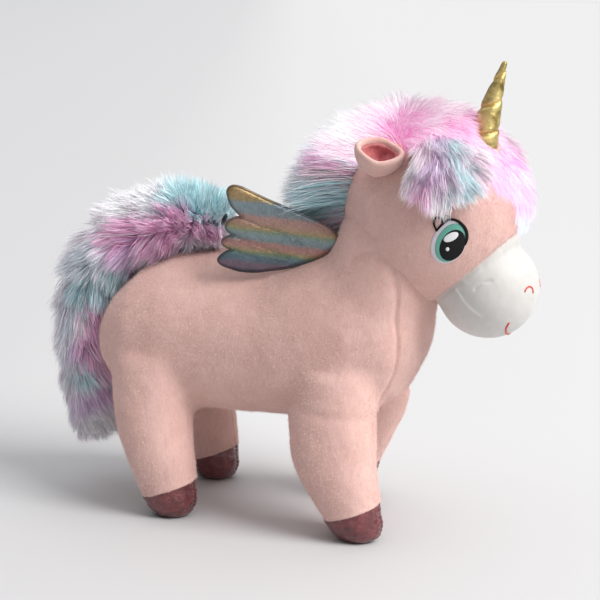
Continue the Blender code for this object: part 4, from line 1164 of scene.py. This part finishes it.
def build_horn():
    count, rows = 96, 150
    around = full_turn(count)
    rings = []
    for row in range(rows + 1):
        share = -0.12 + 1.12 * row / rows
        ring = np.array([horn_place(share, t, horn_radius(max(share, 0), t)) for t in around])
        centre = horn_place(share, 0, 0)
        out = unit(ring - centre)
        folds = rough(ring * (1, 1, 2.6), 7, 6) * 0.3 + rough(ring, 2.6, 7) * 0.14
        fade = min(1.0, (1 - share) * 6 + 0.25)
        rings.append(ring + out * (folds * fade)[:, None])
    tip = horn_place(1.0, 0, 0)
    rings.append(tip + (rings[-1] - tip) * 0.55 + unit(HORN_TIP - HORN_BASE) * 0.5)
    horn = loft("horn", rings, [GOLD])
    run = []
    for turn in np.linspace(0.62, HORN_TURNS - 0.2, 120):
        angle = 2 * math.pi * turn
        share = turn / HORN_TURNS
        run.append(horn_place(share, angle, horn_radius(share, angle) + 0.15))
    thread = tube("horn_winding", run, 0.5, GOLD_THREAD, 8)
    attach(horn, "head")
    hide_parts("horn_cover", "horn_stuffing")
    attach(thread, "head")
    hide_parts("horn_thread")


# Ears -------------------------------------------------------------------------------------------


def ear_cup(name, profile, looks):
    """A cup from a profile of (share of the radii, share of the depth along the opening, thickness)."""
    along = EAR_TIP - EAR_BASE
    half_length = np.linalg.norm(along) / 2 + 1
    along = unit(along)
    opening = unit(EAR_OPENING - along * (EAR_OPENING @ along))
    across = np.cross(along, opening)
    middle = (EAR_BASE + EAR_TIP) / 2
    turns = full_turn(72)
    root_side = np.maximum(0, -np.sin(turns))
    rings = []
    for out, deep, thick in profile:
        point_tip = 1 + 0.10 * np.maximum(0, np.sin(turns)) ** 3
        wide = (EAR_HALF_WIDTH - thick) * out * np.cos(turns) * (1 - 0.22 * root_side)
        far = (half_length - thick) * out * np.sin(turns) * point_tip
        ring = middle + wide[:, None] * across + far[:, None] * along
        ring = ring + opening * (deep * (EAR_DEPTH - thick) + 4.2)
        lumps = rough(ring, 13, 8) * 1.8 + root_side**2 * 2.5
        rings.append(ring + opening * (lumps * out)[:, None])
    return loft(name, rings, looks)


def build_ears():
    swing = np.linspace(0, 1, 14)
    bowl = [(math.sin(s * math.pi / 2), -math.cos(s * math.pi / 2)) for s in swing]
    outside = [(max(out, 0.03), deep, 0.0) for out, deep in bowl]
    rim = [
        (0.99, 0.08, 0.0),
        (0.95, 0.16, 0.3),
        (0.89, 0.18, 0.6),
        (0.83, 0.14, 0.9),
        (0.8, 0.05, 1.2),
        (0.79, -0.06, 1.5),
    ]
    inside = [(max(out, 0.03) * 0.79, deep * 0.9 - 0.06, 2.0) for out, deep in reversed(bowl)]
    lining = [(max(out, 0.03) * 0.81, deep * 0.84 + 0.02, 2.2) for out, deep in bowl]
    fill = [(max(out, 0.03) * 0.76, deep * 0.76, 2.8) for out, deep in reversed(bowl)]
    for node, profile, looks, slot in (
        ("ear_outer", outside + rim + inside[1:], [PLUSH], "pink_plush"),
        ("ear_lining", lining + fill[1:], [CORAL], "coral_satin"),
    ):
        right = ear_cup(f"{node}_soft_right", profile, looks)
        if node == "ear_lining":
            move_points(right, push_out_of_ball(points_of(right), HEAD, HEAD_RADII + 3.0))
        left = mirrored(right, f"{node}_soft_left")
        for obj, side in ((right, "right"), (left, "left")):
            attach(obj, f"ear_{side}")
            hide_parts(f"{node}_{side}")


# Wings ------------------------------------------------------------------------------------------


def wing_outline(steps):
    outline = smooth_run(WING_TOP_EDGE, steps)
    for feather in WING_FEATHERS:
        outline += smooth_run(feather, steps)[1:]
    return outline + smooth_run(WING_LOW_EDGE, steps)[1:-1]


def wing_place(plan, lift):
    """Places of the wing's plan points, curving outwards towards the feather tips."""
    along = unit(WING_ALONG)
    up = unit(WING_UP_HINT - along * (WING_UP_HINT @ along))
    inward = np.cross(along, up)
    share = plan[:, 0] / WING_SPAN
    curve = WING_CAMBER * (share**2 - share * 0.55)
    return WING_ORIGIN + plan[:, :1] * along + plan[:, 1:] * up - (curve + lift)[:, None] * inward


def splay_left(obj):
    """Turns the left wing out about its seam, the way it rests."""
    front, back = wing_place(np.array(WING_SEAM, float), WING_THICKNESS) * ACROSS_X
    place = Matrix.Translation(Vector(front) * MM)
    turn = Matrix.Rotation(math.radians(LEFT_WING_SPLAY), 4, Vector(back - front).normalized())
    obj.data.transform(place @ turn @ place.inverted())


def give_plan(obj, plan):
    """Stores each point's place in the wing's plan, in tenths of a metre."""
    set_uv(obj, "WingPlan", plan / 100)


def build_wings():
    outline = [Vector(p) for p in wing_outline(5)]
    run = [np.array(p) for p in outline] + [np.array(outline[0])]
    grid = np.array([(u, v) for u in np.arange(3, 96, 1.4) for v in np.arange(-25, 44, 1.4)])
    grid = grid[distance_to_run(grid, run) > 0.9]
    edges = [(i, (i + 1) % len(outline)) for i in range(len(outline))]
    cut = delaunay_2d_cdt(outline + [Vector(p) for p in grid], edges, [], 1, 1e-4)
    plan = np.array([tuple(p) for p in cut[0]])
    triangles = [tuple(f) for f in cut[2]]
    rim = distance_to_run(plan, run)
    quilt = np.full(len(plan), 1e9)
    for groove in WING_GROOVES:
        quilt = np.minimum(quilt, distance_to_run(plan, [np.array(p) for p in smooth_run(groove, 5)]))
    loft_height = 0.5 + 1.9 * (1 - np.exp(-rim / 3.0)) + 0.6 * (1 - np.exp(-quilt / 5.0))
    loft_height -= 1.5 * np.exp(-((quilt / 1.1) ** 2)) * step_between(0, 3, rim)
    loft_height = np.maximum(loft_height, 0.35)
    creases = rough(np.column_stack((plan, np.zeros(len(plan)))), 5, 9) * 0.3
    outer = wing_place(plan, WING_MIDDLE + loft_height + creases * step_between(0, 4, rim))
    inner = wing_place(plan, WING_MIDDLE - loft_height * 0.75)
    count = len(plan)
    faces = triangles + [tuple(count + i for i in reversed(f)) for f in triangles]
    directed = [edge for a, b, c in triangles for edge in ((a, b), (b, c), (c, a))]
    paired = set(directed)
    faces += [(b, a, count + a, count + b) for a, b in directed if (b, a) not in paired]
    sail = mesh_object("wing_right_padded", np.concatenate((outer, inner)), faces, [HOLOGRAPHIC])
    fix_normals(sail)
    give_plan(sail, np.concatenate((plan, plan)))
    path = np.array(run)
    middle = wing_place(path, np.full(len(path), WING_MIDDLE))
    hem = tube("wing_right_edge", middle, 1.35, HOLOGRAPHIC_EDGE, 10)
    give_plan(hem, np.repeat(path, 10, axis=0))
    for right, nodes in (
        (sail, ("wing_outer_fabric", "wing_foam", "wing_inner_fabric")),
        (hem, ("wing_outer_fabric",)),
    ):
        left = mirrored(right, right.name.replace("right", "left"))
        splay_left(left)
        for obj, side in ((right, "right"), (left, "left")):
            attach(obj, f"wing_{side}")
            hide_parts(*(f"{node}_{side}" for node in nodes))


# Fur --------------------------------------------------------------------------------------------


def clumped(paths, count, strength, seed):
    """Draws strands together in locks: each follows the nearest of count guides more towards its tip."""
    picker = np.random.default_rng(seed)
    guides = picker.choice(len(paths), min(count, len(paths)), replace=False)
    tree = KDTree(len(guides))
    for index, guide in enumerate(guides):
        tree.insert(paths[guide, 0], index)
    tree.balance()
    nearest = np.array([guides[tree.find(root)[1]] for root in paths[:, 0]])
    share = np.linspace(0, 1, SEGMENTS + 1)[None, :, None] ** 1.4
    pull = strength * picker.uniform(0.55, 1.0, (len(paths), 1, 1))
    return paths + (paths[nearest] - paths) * share * pull, nearest


def strands(name, roots, facing, first, then, lengths, hues, widths, clumps, seed, keep_out, room):
    """Ribbon strands from roots, starting along first and bending towards then.

    keep_out moves their points clear of what is under them; strands that enter a ball in room are left out.
    """
    picker = np.random.default_rng(seed)
    count = len(roots)
    share = np.linspace(0, 1, SEGMENTS + 1)[None, :, None]
    first, then = unit(first)[:, None], unit(then)[:, None]
    stride = lengths[:, None, None]
    paths = roots[:, None] + stride * (first * (share - share**2 / 2) + then * share**2 / 2)
    for size, strength in clumps:
        paths, nearest = clumped(paths, size, strength, seed + size)
    wave = picker.normal(0, 1, (count, 1, 3))
    wave = wave * np.sin(share * math.pi * 1.1 + picker.uniform(0, 6, (count, 1, 1)))
    paths = paths + wave * share * 1.1
    paths[:, 1:] = keep_out(paths[:, 1:].reshape(-1, 3)).reshape(count, SEGMENTS, 3)
    clear = np.ones(count, bool)
    for centre, radius in room:
        clear &= (np.linalg.norm(paths - centre, axis=2) > radius).all(axis=1)
    paths, hues, widths, facing = paths[clear], hues[clear], widths[clear], facing[clear]
    count = len(paths)
    tangent = unit(np.gradient(paths, axis=1))
    side = unit(np.cross(tangent, facing[:, None] + picker.normal(0, 0.45, (count, 1, 3))))
    half = (widths[:, None, None] / 2) * (1 - share**1.6 * 0.85)
    left, right = paths - side * half, paths + side * half
    body = np.stack((left[:, :-1], right[:, :-1]), axis=2).reshape(count, -1, 3)
    points = np.concatenate((body, paths[:, -1:]), axis=1)
    per = points.shape[1]
    quads = np.array([(2 * i, 2 * i + 1, 2 * i + 3, 2 * i + 2) for i in range(SEGMENTS - 1)])
    start = np.arange(count)[:, None, None] * per
    tip = np.array([[2 * SEGMENTS - 2, 2 * SEGMENTS - 1, 2 * SEGMENTS]])
    corners = np.concatenate(((quads + start).reshape(count, -1), (tip + start).reshape(count, -1)), axis=1)
    mesh = bpy.data.meshes.new(name)
    mesh.vertices.add(count * per)
    mesh.vertices.foreach_set("co", (points.reshape(-1) * MM).astype(np.float32))
    mesh.loops.add(corners.size)
    mesh.loops.foreach_set("vertex_index", corners.reshape(-1).astype(np.int32))
    sizes = np.tile([4] * (SEGMENTS - 1) + [3], count)
    mesh.polygons.add(len(sizes))
    mesh.polygons.foreach_set("loop_start", np.concatenate(([0], np.cumsum(sizes)[:-1])).astype(np.int32))
    mesh.update(calc_edges=True)
    mesh.shade_smooth()
    layer = mesh.uv_layers.new(name="OFBake")
    level = np.append(np.repeat(np.arange(SEGMENTS) / SEGMENTS, 2), 1.0)
    v = level[corners[0]]
    uv = np.stack((np.repeat(hues, len(v)), np.tile(v, count)), axis=1)
    layer.data.foreach_set("uv", np.clip(uv, 0.005, 0.995).astype(np.float32).ravel())
    mesh.materials.append(FUR)
    return new_object(name, mesh)


def patch_hues(points, patches, rest, picker):
    """Each point's hue: that of the nearest colour patch, (y, z, reach, hue), or one of rest outside them."""
    wander = np.column_stack((rough(points, 16, 12), rough(points, 16, 13))) * 7
    flat = points[:, 1:] + wander + picker.normal(0, 2.2, (len(points), 2))
    best = np.full(len(points), 1.0)
    hues = picker.choice(rest, len(points)).astype(float)
    for y, z, reach, hue in patches:
        gap = np.hypot(flat[:, 0] - y, flat[:, 1] - z) / reach
        closer = gap < best
        hues[closer] = hue
        best = np.minimum(best, gap)
    stray = picker.random(len(points)) < 0.10
    hues[stray] = WHITE
    return hues + picker.normal(0, 0.022, len(points))


def crown_root(tree, theta, x):
    """Place, normal and outward direction on the head and neck, theta degrees up from straight ahead."""
    turn = np.radians(theta)
    out = np.array((0.0, -math.cos(turn), math.sin(turn)))
    start = HEAD + out * 150 + X_AXIS * x
    hit, facing = tree.ray_cast(Vector(start), Vector(-out))[:2]
    if hit is None:
        return None
    return np.array(hit), np.array(facing), out


# Colour patches of the fur: (y, z, reach, hue).
CROWN_PATCHES = (
    (-105, 311, 22, PINK),
    (-126, 322, 16, BLUSH),
    (-134, 308, 14, PINK),
    (-146, 312, 14, PINK),
    (-76, 315, 15, BLUSH),
    (-104, 324, 14, BLUSH),
    (-62, 302, 10, WHITE),
    (-70, 328, 10, WHITE),
    (-93, 330, 12, WHITE),
    (-116, 336, 12, BLUSH),
    (-94, 299, 8, LILAC),
    (-158, 304, 13, ROSE),
    (-183, 300, 11, LILAC),
    (-173, 282, 13, PINK),
    (-183, 263, 12, LILAC),
    (-193, 284, 9, WHITE),
    (-186, 244, 8, MIST),
    (-55, 290, 11, BLUSH),
    (-47, 280, 8, LILAC),
    (-43, 303, 12, WHITE),
    (-60, 316, 11, WHITE),
    (-28, 280, 12, MIST),
)
NECK_PATCHES = (
    (-16, 272, 13, WHITE),
    (-24, 258, 11, MIST),
    (-42, 262, 8, AQUA),
    (-36, 246, 11, AQUA),
    (-46, 272, 9, BLUSH),
    (-44, 284, 8, PINK),
    (-32, 288, 12, MIST),
    (-50, 250, 7, TEAL),
    (-30, 234, 9, BLUSH),
    (-6, 252, 14, WHITE),
)
FORELOCK_PATCHES = (
    (-134, 292, 6, LILAC),
    (-132, 302, 5, AQUA),
    (-145, 292, 6, AQUA),
    (-149, 280, 7, AQUA),
    (-153, 267, 7, AQUA),
    (-128, 268, 8, PINK),
    (-133, 279, 8, LILAC),
    (-140, 252, 12, WHITE),
    (-113, 286, 9, WHITE),
    (-120, 294, 8, BLUSH),
    (-160, 285, 9, BLUSH),
)
TAIL_PATCHES = (
    (69, 248, 18, AQUA),
    (94, 252, 17, AQUA),
    (116, 247, 13, WHITE),
    (138, 233, 13, WHITE),
    (92, 227, 14, PINK),
    (73, 223, 11, PINK),
    (116, 214, 15, PINK),
    (137, 214, 11, PINK),
    (103, 211, 11, PINK),
    (156, 199, 12, MIST),
    (130, 195, 11, LILAC),
    (172, 188, 10, MIST),
    (166, 174, 13, TEAL),
    (148, 175, 11, TEAL),
    (132, 181, 9, TEAL),
    (152, 157, 13, PINK),
    (156, 136, 15, PINK),
    (158, 116, 15, PINK),
    (183, 150, 10, MIST),
    (186, 120, 9, MIST),
    (172, 122, 9, LILAC),
    (171, 100, 8, AQUA),
    (158, 88, 11, LILAC),
    (143, 123, 7, PLUM),
    (170, 74, 12, LILAC),
    (165, 58, 13, WHITE),
    (140, 77, 11, LILAC),
    (152, 52, 13, WHITE),
    (55, 224, 11, MIST),
)
# Balls, (centre, radius), that no strand may enter: about the ears, the wings and the back ahead of the tail.
RIGHT_EAR_ROOM = (
    (np.array((-49.0, -92.0, 291.0)), 18.0),
    (np.array((-61.0, -98.0, 288.0)), 18.0),
)
WING_ROOMS = tuple(
    (np.array((side * x, y, z)), radius)
    for side in (-1, 1)
    for x, y, z, radius in ((35.0, -44.0, 224.0, 12.0), (38.0, -22.0, 234.0, 14.0), (36.0, -2.0, 242.0, 15.0))
)
EAR_ROOMS = RIGHT_EAR_ROOM + tuple((centre * ACROSS_X, radius) for centre, radius in RIGHT_EAR_ROOM)
TAIL_ROOM = (((0, 35, 224), 19),)
# Half width of the mane, then length of its strands, at each theta of crown_root.
MANE_REACH = (
    (-2, 9),
    (25, 14),
    (38, 29),
    (60, 39),
    (80, 42),
    (108, 40),
    (125, 31),
    (144, 25),
    (170, 24),
    (200, 14),
)
MANE_LENGTH = (
    (-2, 15),
    (15, 24),
    (30, 29),
    (45, 32),
    (60, 33),
    (90, 33),
    (115, 36),
    (133, 46),
    (149, 54),
    (174, 62),
    (190, 48),
    (200, 30),
)


def mane_roots(tree, count, low, high, picker):
    """Roots between two thetas, none under the horn."""
    found = []
    while len(found) < count:
        theta = picker.uniform(low, high)
        reach = table_value(MANE_REACH, theta, 1)
        x = reach * picker.uniform(-1, 1)
        if math.hypot(x, (theta - 54.8) * 1.19) < 12.5:
            continue
        place = crown_root(tree, theta, x)
        if place is None:
            continue
        found.append((*place, theta, x / reach))
    hit, facing, out, theta, aside = (np.array(column) for column in zip(*found))
    return hit, unit(facing), out, theta, aside


def keep_off_head(points):
    return push_out_of_ball(points, HEAD, HEAD_RADII + 1.2)


def mane_flow(theta, aside, out):
    """Which way the pile lies: forwards ahead of the horn, sideways about it, back and down behind."""
    turn = np.radians(theta)
    back = np.column_stack((np.zeros(len(turn)), np.sin(turn), np.cos(turn)))
    fore = step_between(70, 45, theta)[:, None]
    middle = (step_between(45, 70, theta) * step_between(120, 100, theta))[:, None]
    rear = step_between(100, 120, theta)[:, None]
    lift = np.interp(theta, (100, 130, 150, 175), (0.3, 0.6, 0.9, 1.1))[:, None]
    sideways = np.sign(aside)[:, None] * X_AXIS
    reach = np.abs(aside)[:, None]
    flow = fore * (-back + sideways * 0.35 * reach - out * 0.12)
    flow += middle * (sideways * (0.2 + 0.7 * reach) - Z_AXIS * 0.6 * reach - back * 0.8 + out * 0.08)
    flow += rear * (back * 0.65 + out * lift + sideways * 0.55 * reach)
    return flow


def build_mane(head, body):
    picker = np.random.default_rng(21)
    tree = tree_of(head, body)
    horn_foot = HEAD + unit(HORN_BASE - HEAD) * HEAD_RADII[1]
    for name, count, low, high, patches, rest, seed in (
        ("crown_mane", CROWN_STRANDS, -2, 146, CROWN_PATCHES, (WHITE, MIST, BLUSH), 31),
        ("neck_mane", NECK_STRANDS, 146, 197, NECK_PATCHES, (WHITE, MIST, MIST), 32),
    ):
        roots, facing, out, theta, aside = mane_roots(tree, count, low, high, picker)
        scatter = np.interp(theta, (110, 150), (0.15, 0.4))[:, None]
        flow = mane_flow(theta, aside, out) + picker.normal(0, 1, (count, 3)) * scatter
        flat = (step_between(112, 90, theta) * np.interp(theta, (30, 60), (1.0, 0.6)))[:, None]
        rise = facing * (0.8 - 0.35 * flat) + out * 0.35 * (1 - flat) + flow * (0.55 + 0.3 * flat)
        rise += picker.normal(0, 0.12, (count, 3))
        long = table_value(MANE_LENGTH, theta, 1) * picker.uniform(0.66, 1.06, count)
        to_horn = np.linalg.norm(roots - horn_foot, axis=1)
        long = long * (0.3 + 0.7 * step_between(12, 30, to_horn))
        middles = roots + unit(rise) * (long * 0.35)[:, None] + unit(flow) * (long * 0.2)[:, None]
        hues = patch_hues(middles, patches, rest, picker)
        widths = picker.uniform(0.4, 0.66, count)
        obj = strands(name, roots - facing * 0.6, facing * 0.5 + out * 0.5, rise, flow, long, hues, widths,
                      ((1000, 0.4), (190, 0.45)), seed, keep_off_head, EAR_ROOMS + WING_ROOMS)
        if name == "crown_mane":
            # Its strands cast no shadows; the crown material's dimmed palette paints that shade instead.
            obj.visible_shadow = False
            obj.data.materials[0] = CROWN_FUR
            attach(obj, "head")
            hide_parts("crown_mane_fur")
        else:
            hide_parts("neck_mane_fur")
            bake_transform(obj)


CREST = np.array((-43.8, -132.2, 289.2))
CREST_REACH = 21.0


def build_forelocks(head):
    """Locks that spread from a crest beside the horn over each temple and eye."""
    picker = np.random.default_rng(22)
    cheek = Cheek(tree_of(head), CREST)
    count = FORELOCK_STRANDS
    turn = picker.uniform(0, 2 * math.pi, count)
    spread = np.sqrt(picker.uniform(0, 1, count))
    ahead, above = np.cos(turn) * spread, np.sin(turn) * spread
    places = zip(ahead * CREST_REACH, above * CREST_REACH * 0.8 + 2)
    roots = np.array([cheek.point(place, -0.4) for place in places])
    normals = unit((roots - HEAD) / HEAD_RADII**2)
    down = unit(-Z_AXIS - normals * (-normals[:, 2:]))
    fan = np.where(ahead < 0, 0.5, 0.85) * ahead + 0.05
    flow = cheek.forward * fan[:, None] + down * (0.85 - 0.35 * above)[:, None] + normals * 0.08
    flow += picker.normal(0, 0.12, (count, 3))
    rise = normals * 0.7 + flow * 0.6 + picker.normal(0, 0.14, (count, 3))
    long = picker.triangular(22, 34, 56, count)
    long = long * (1 - 0.45 * np.maximum(0, -ahead)) * (1 - 0.2 * np.maximum(0, ahead))
    middles = roots + unit(flow) * (long * 0.45)[:, None]
    hues = patch_hues(middles, FORELOCK_PATCHES, (WHITE, BLUSH, LILAC), picker)
    widths = picker.uniform(0.4, 0.62, count)
    right = strands("forelock_right", roots, normals, rise, flow, long, hues, widths,
                    ((260, 0.5), (46, 0.62)), 33, keep_off_head, RIGHT_EAR_ROOM)
    left = mirrored(right, "forelock_left")
    for obj, side in ((right, "right"), (left, "left")):
        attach(obj, "head")
        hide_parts(f"forelock_fur_{side}")


def tail_section(share):
    """(centre, direction, depth direction, half depth, half width) at shares of the tail's length."""
    at = share * (len(TAIL) - 1)
    rows = np.arange(len(TAIL))

    def column(places, index):
        return np.interp(places, rows, [row[index] for row in TAIL])

    y, z, half_depth, half_width = (column(at, index) for index in range(4))
    ahead = np.minimum(at + 0.6, len(TAIL) - 1)
    behind = np.maximum(at - 0.6, 0)
    middle = np.zeros(len(at))
    rise = [column(ahead, index) - column(behind, index) for index in (0, 1)]
    along = unit(np.column_stack((middle, *rise)))
    return np.column_stack((middle, y, z)), along, np.cross(along, X_AXIS), half_depth, half_width


def build_tail(body):
    picker = np.random.default_rng(23)
    tree = tree_of(body)
    count = TAIL_STRANDS
    share = picker.uniform(0.02, 0.93, count)
    centre, along, depth, half_depth, half_width = tail_section(share)
    turn = picker.uniform(0, 2 * math.pi, count)
    out = np.cos(turn)[:, None] * X_AXIS + np.sin(turn)[:, None] * depth
    core = 0.42
    roots = centre + X_AXIS * (np.cos(turn) * half_width * core)[:, None]
    roots += depth * (np.sin(turn) * half_depth * core)[:, None]
    front = step_between(0.3, 0.1, share)[:, None]
    low = step_between(0.3, 0.55, share)[:, None]
    flow = along * (0.95 + 0.35 * low - 0.9 * front) + out * (0.5 - 0.3 * low)
    wrap = (low[:, 0] * step_between(0.5, -0.3, out[:, 1]))[:, None]
    flow += Z_AXIS * 0.3 * front - Y_AXIS * (0.5 * front + 0.8 * wrap) + picker.normal(0, 0.17, (count, 3))
    rise = out * (1.0 - 0.15 * low) + along * (0.25 + 0.3 * low - 0.35 * front)
    rise += picker.normal(0, 0.15, (count, 3))
    size = (half_depth + half_width) / 2
    long = size * picker.uniform(0.62, 1.04, count) * (1 + 0.3 * low[:, 0])
    wisps = picker.random(count) < 0.08
    long[wisps] *= 1.22
    middles = centre + out * size[:, None] * 0.8 + along * 8
    hues = patch_hues(middles, TAIL_PATCHES, (WHITE, MIST, BLUSH), picker)

    def keep_off_rump(points):
        made = points.copy()
        lift = 0.9
        for index in np.flatnonzero(points[:, 1] < 172):
            hit, facing = tree.find_nearest(Vector(points[index]), 24)[:2]
            if hit is None:
                continue
            hit, facing = np.array(hit), np.array(facing)
            if (points[index] - hit) @ facing < lift:
                made[index] = hit + facing * lift
        return made

    fur = strands("tail", roots, out, rise, flow, long, hues, picker.uniform(0.45, 0.75, count),
                  ((1100, 0.4), (210, 0.5)), 34, keep_off_rump, TAIL_ROOM)
    middle, _, deep, thick, wide = tail_section(np.linspace(0.08, 0.93, 42))
    rings = []
    for centre, depth, half_depth, half_width in zip(middle, deep, thick, wide):
        ring = oval_ring(centre, X_AXIS, depth, half_width * 0.5, half_depth * 0.5, 40, 2.0)
        rings.append(keep_off_rump(ring))
    backing = loft("tail_backing", rings, [FUR])
    shade = patch_hues(points_of(backing), TAIL_PATCHES, (MIST, BLUSH), picker)
    set_uv(backing, "OFBake", np.column_stack((shade, np.full(len(shade), 0.1))))
    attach(fur, "tail")
    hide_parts("tail_fur")
    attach(backing, "tail")
    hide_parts("tail_stuffing")


# Studio -----------------------------------------------------------------------------------------


def aim(obj, target):
    obj.rotation_euler = (Vector(target) - obj.location).to_track_quat("-Z", "Y").to_euler()


def add_sun(name, energy, degrees, location, colour=(1, 1, 1)):
    """A soft sun that looks this many degrees across, shining from location to the origin."""
    sun = bpy.data.lights.new(name, "SUN")
    sun.energy = energy
    sun.angle = math.radians(degrees)
    sun.color = colour
    lamp = new_object(name, sun)
    lamp.location = location
    aim(lamp, (0, 0, 0))


def build_world(scene):
    """A white surround, dim as a light and bright as the backdrop the camera sees."""
    light_strength = 0.25
    backdrop_strength = 0.87
    world = bpy.data.worlds.new("studio")
    scene.world = world
    world.use_nodes = True
    nodes, links = world.node_tree.nodes, world.node_tree.links
    surround = nodes["Background"]
    surround.inputs[0].default_value = (0.98, 0.985, 1.0, 1)
    path = nodes.new("ShaderNodeLightPath")
    level = nodes.new("ShaderNodeMath")
    level.operation = "MULTIPLY_ADD"
    level.inputs[1].default_value = backdrop_strength - light_strength
    level.inputs[2].default_value = light_strength
    links.new(path.outputs["Is Camera Ray"], level.inputs[0])
    links.new(level.outputs[0], surround.inputs[1])


def build_studio():
    scene = bpy.context.scene
    build_world(scene)
    add_sun("key", 3.5, 32, (-0.32, -1.8, 1.55), (1.0, 0.985, 0.965))
    add_sun("overhead", 1.9, 100, (0.5, 0, 2))
    half = 9000
    corners = [(-half, -half, 0), (half, -half, 0), (half, half, 0), (-half, half, 0)]
    floor = mesh_object("floor", corners, [(0, 1, 2, 3)], [floor_look()], False)
    camera_data = bpy.data.cameras.new("camera")
    camera = new_object("camera", camera_data)
    camera_data.lens = 98.4
    camera_data.sensor_width = 36
    camera.location = (-1.1598, -0.4563, 0.4525)
    aim(camera, (-0.040, -0.0265, 0.18))
    scene.camera = camera
    scene.view_settings.view_transform = "Standard"


def main():
    build_studio()
    body = build_body()
    for name, leg in LEGS.items():
        build_hoof(name, leg)
    head, muzzle = build_head()
    head_tree = tree_of(head, muzzle)
    build_eye(head_tree)
    build_face_threads(head_tree)
    build_horn()
    build_ears()
    build_wings()
    build_mane(head, body)
    build_forelocks(head)
    build_tail(body)


main()
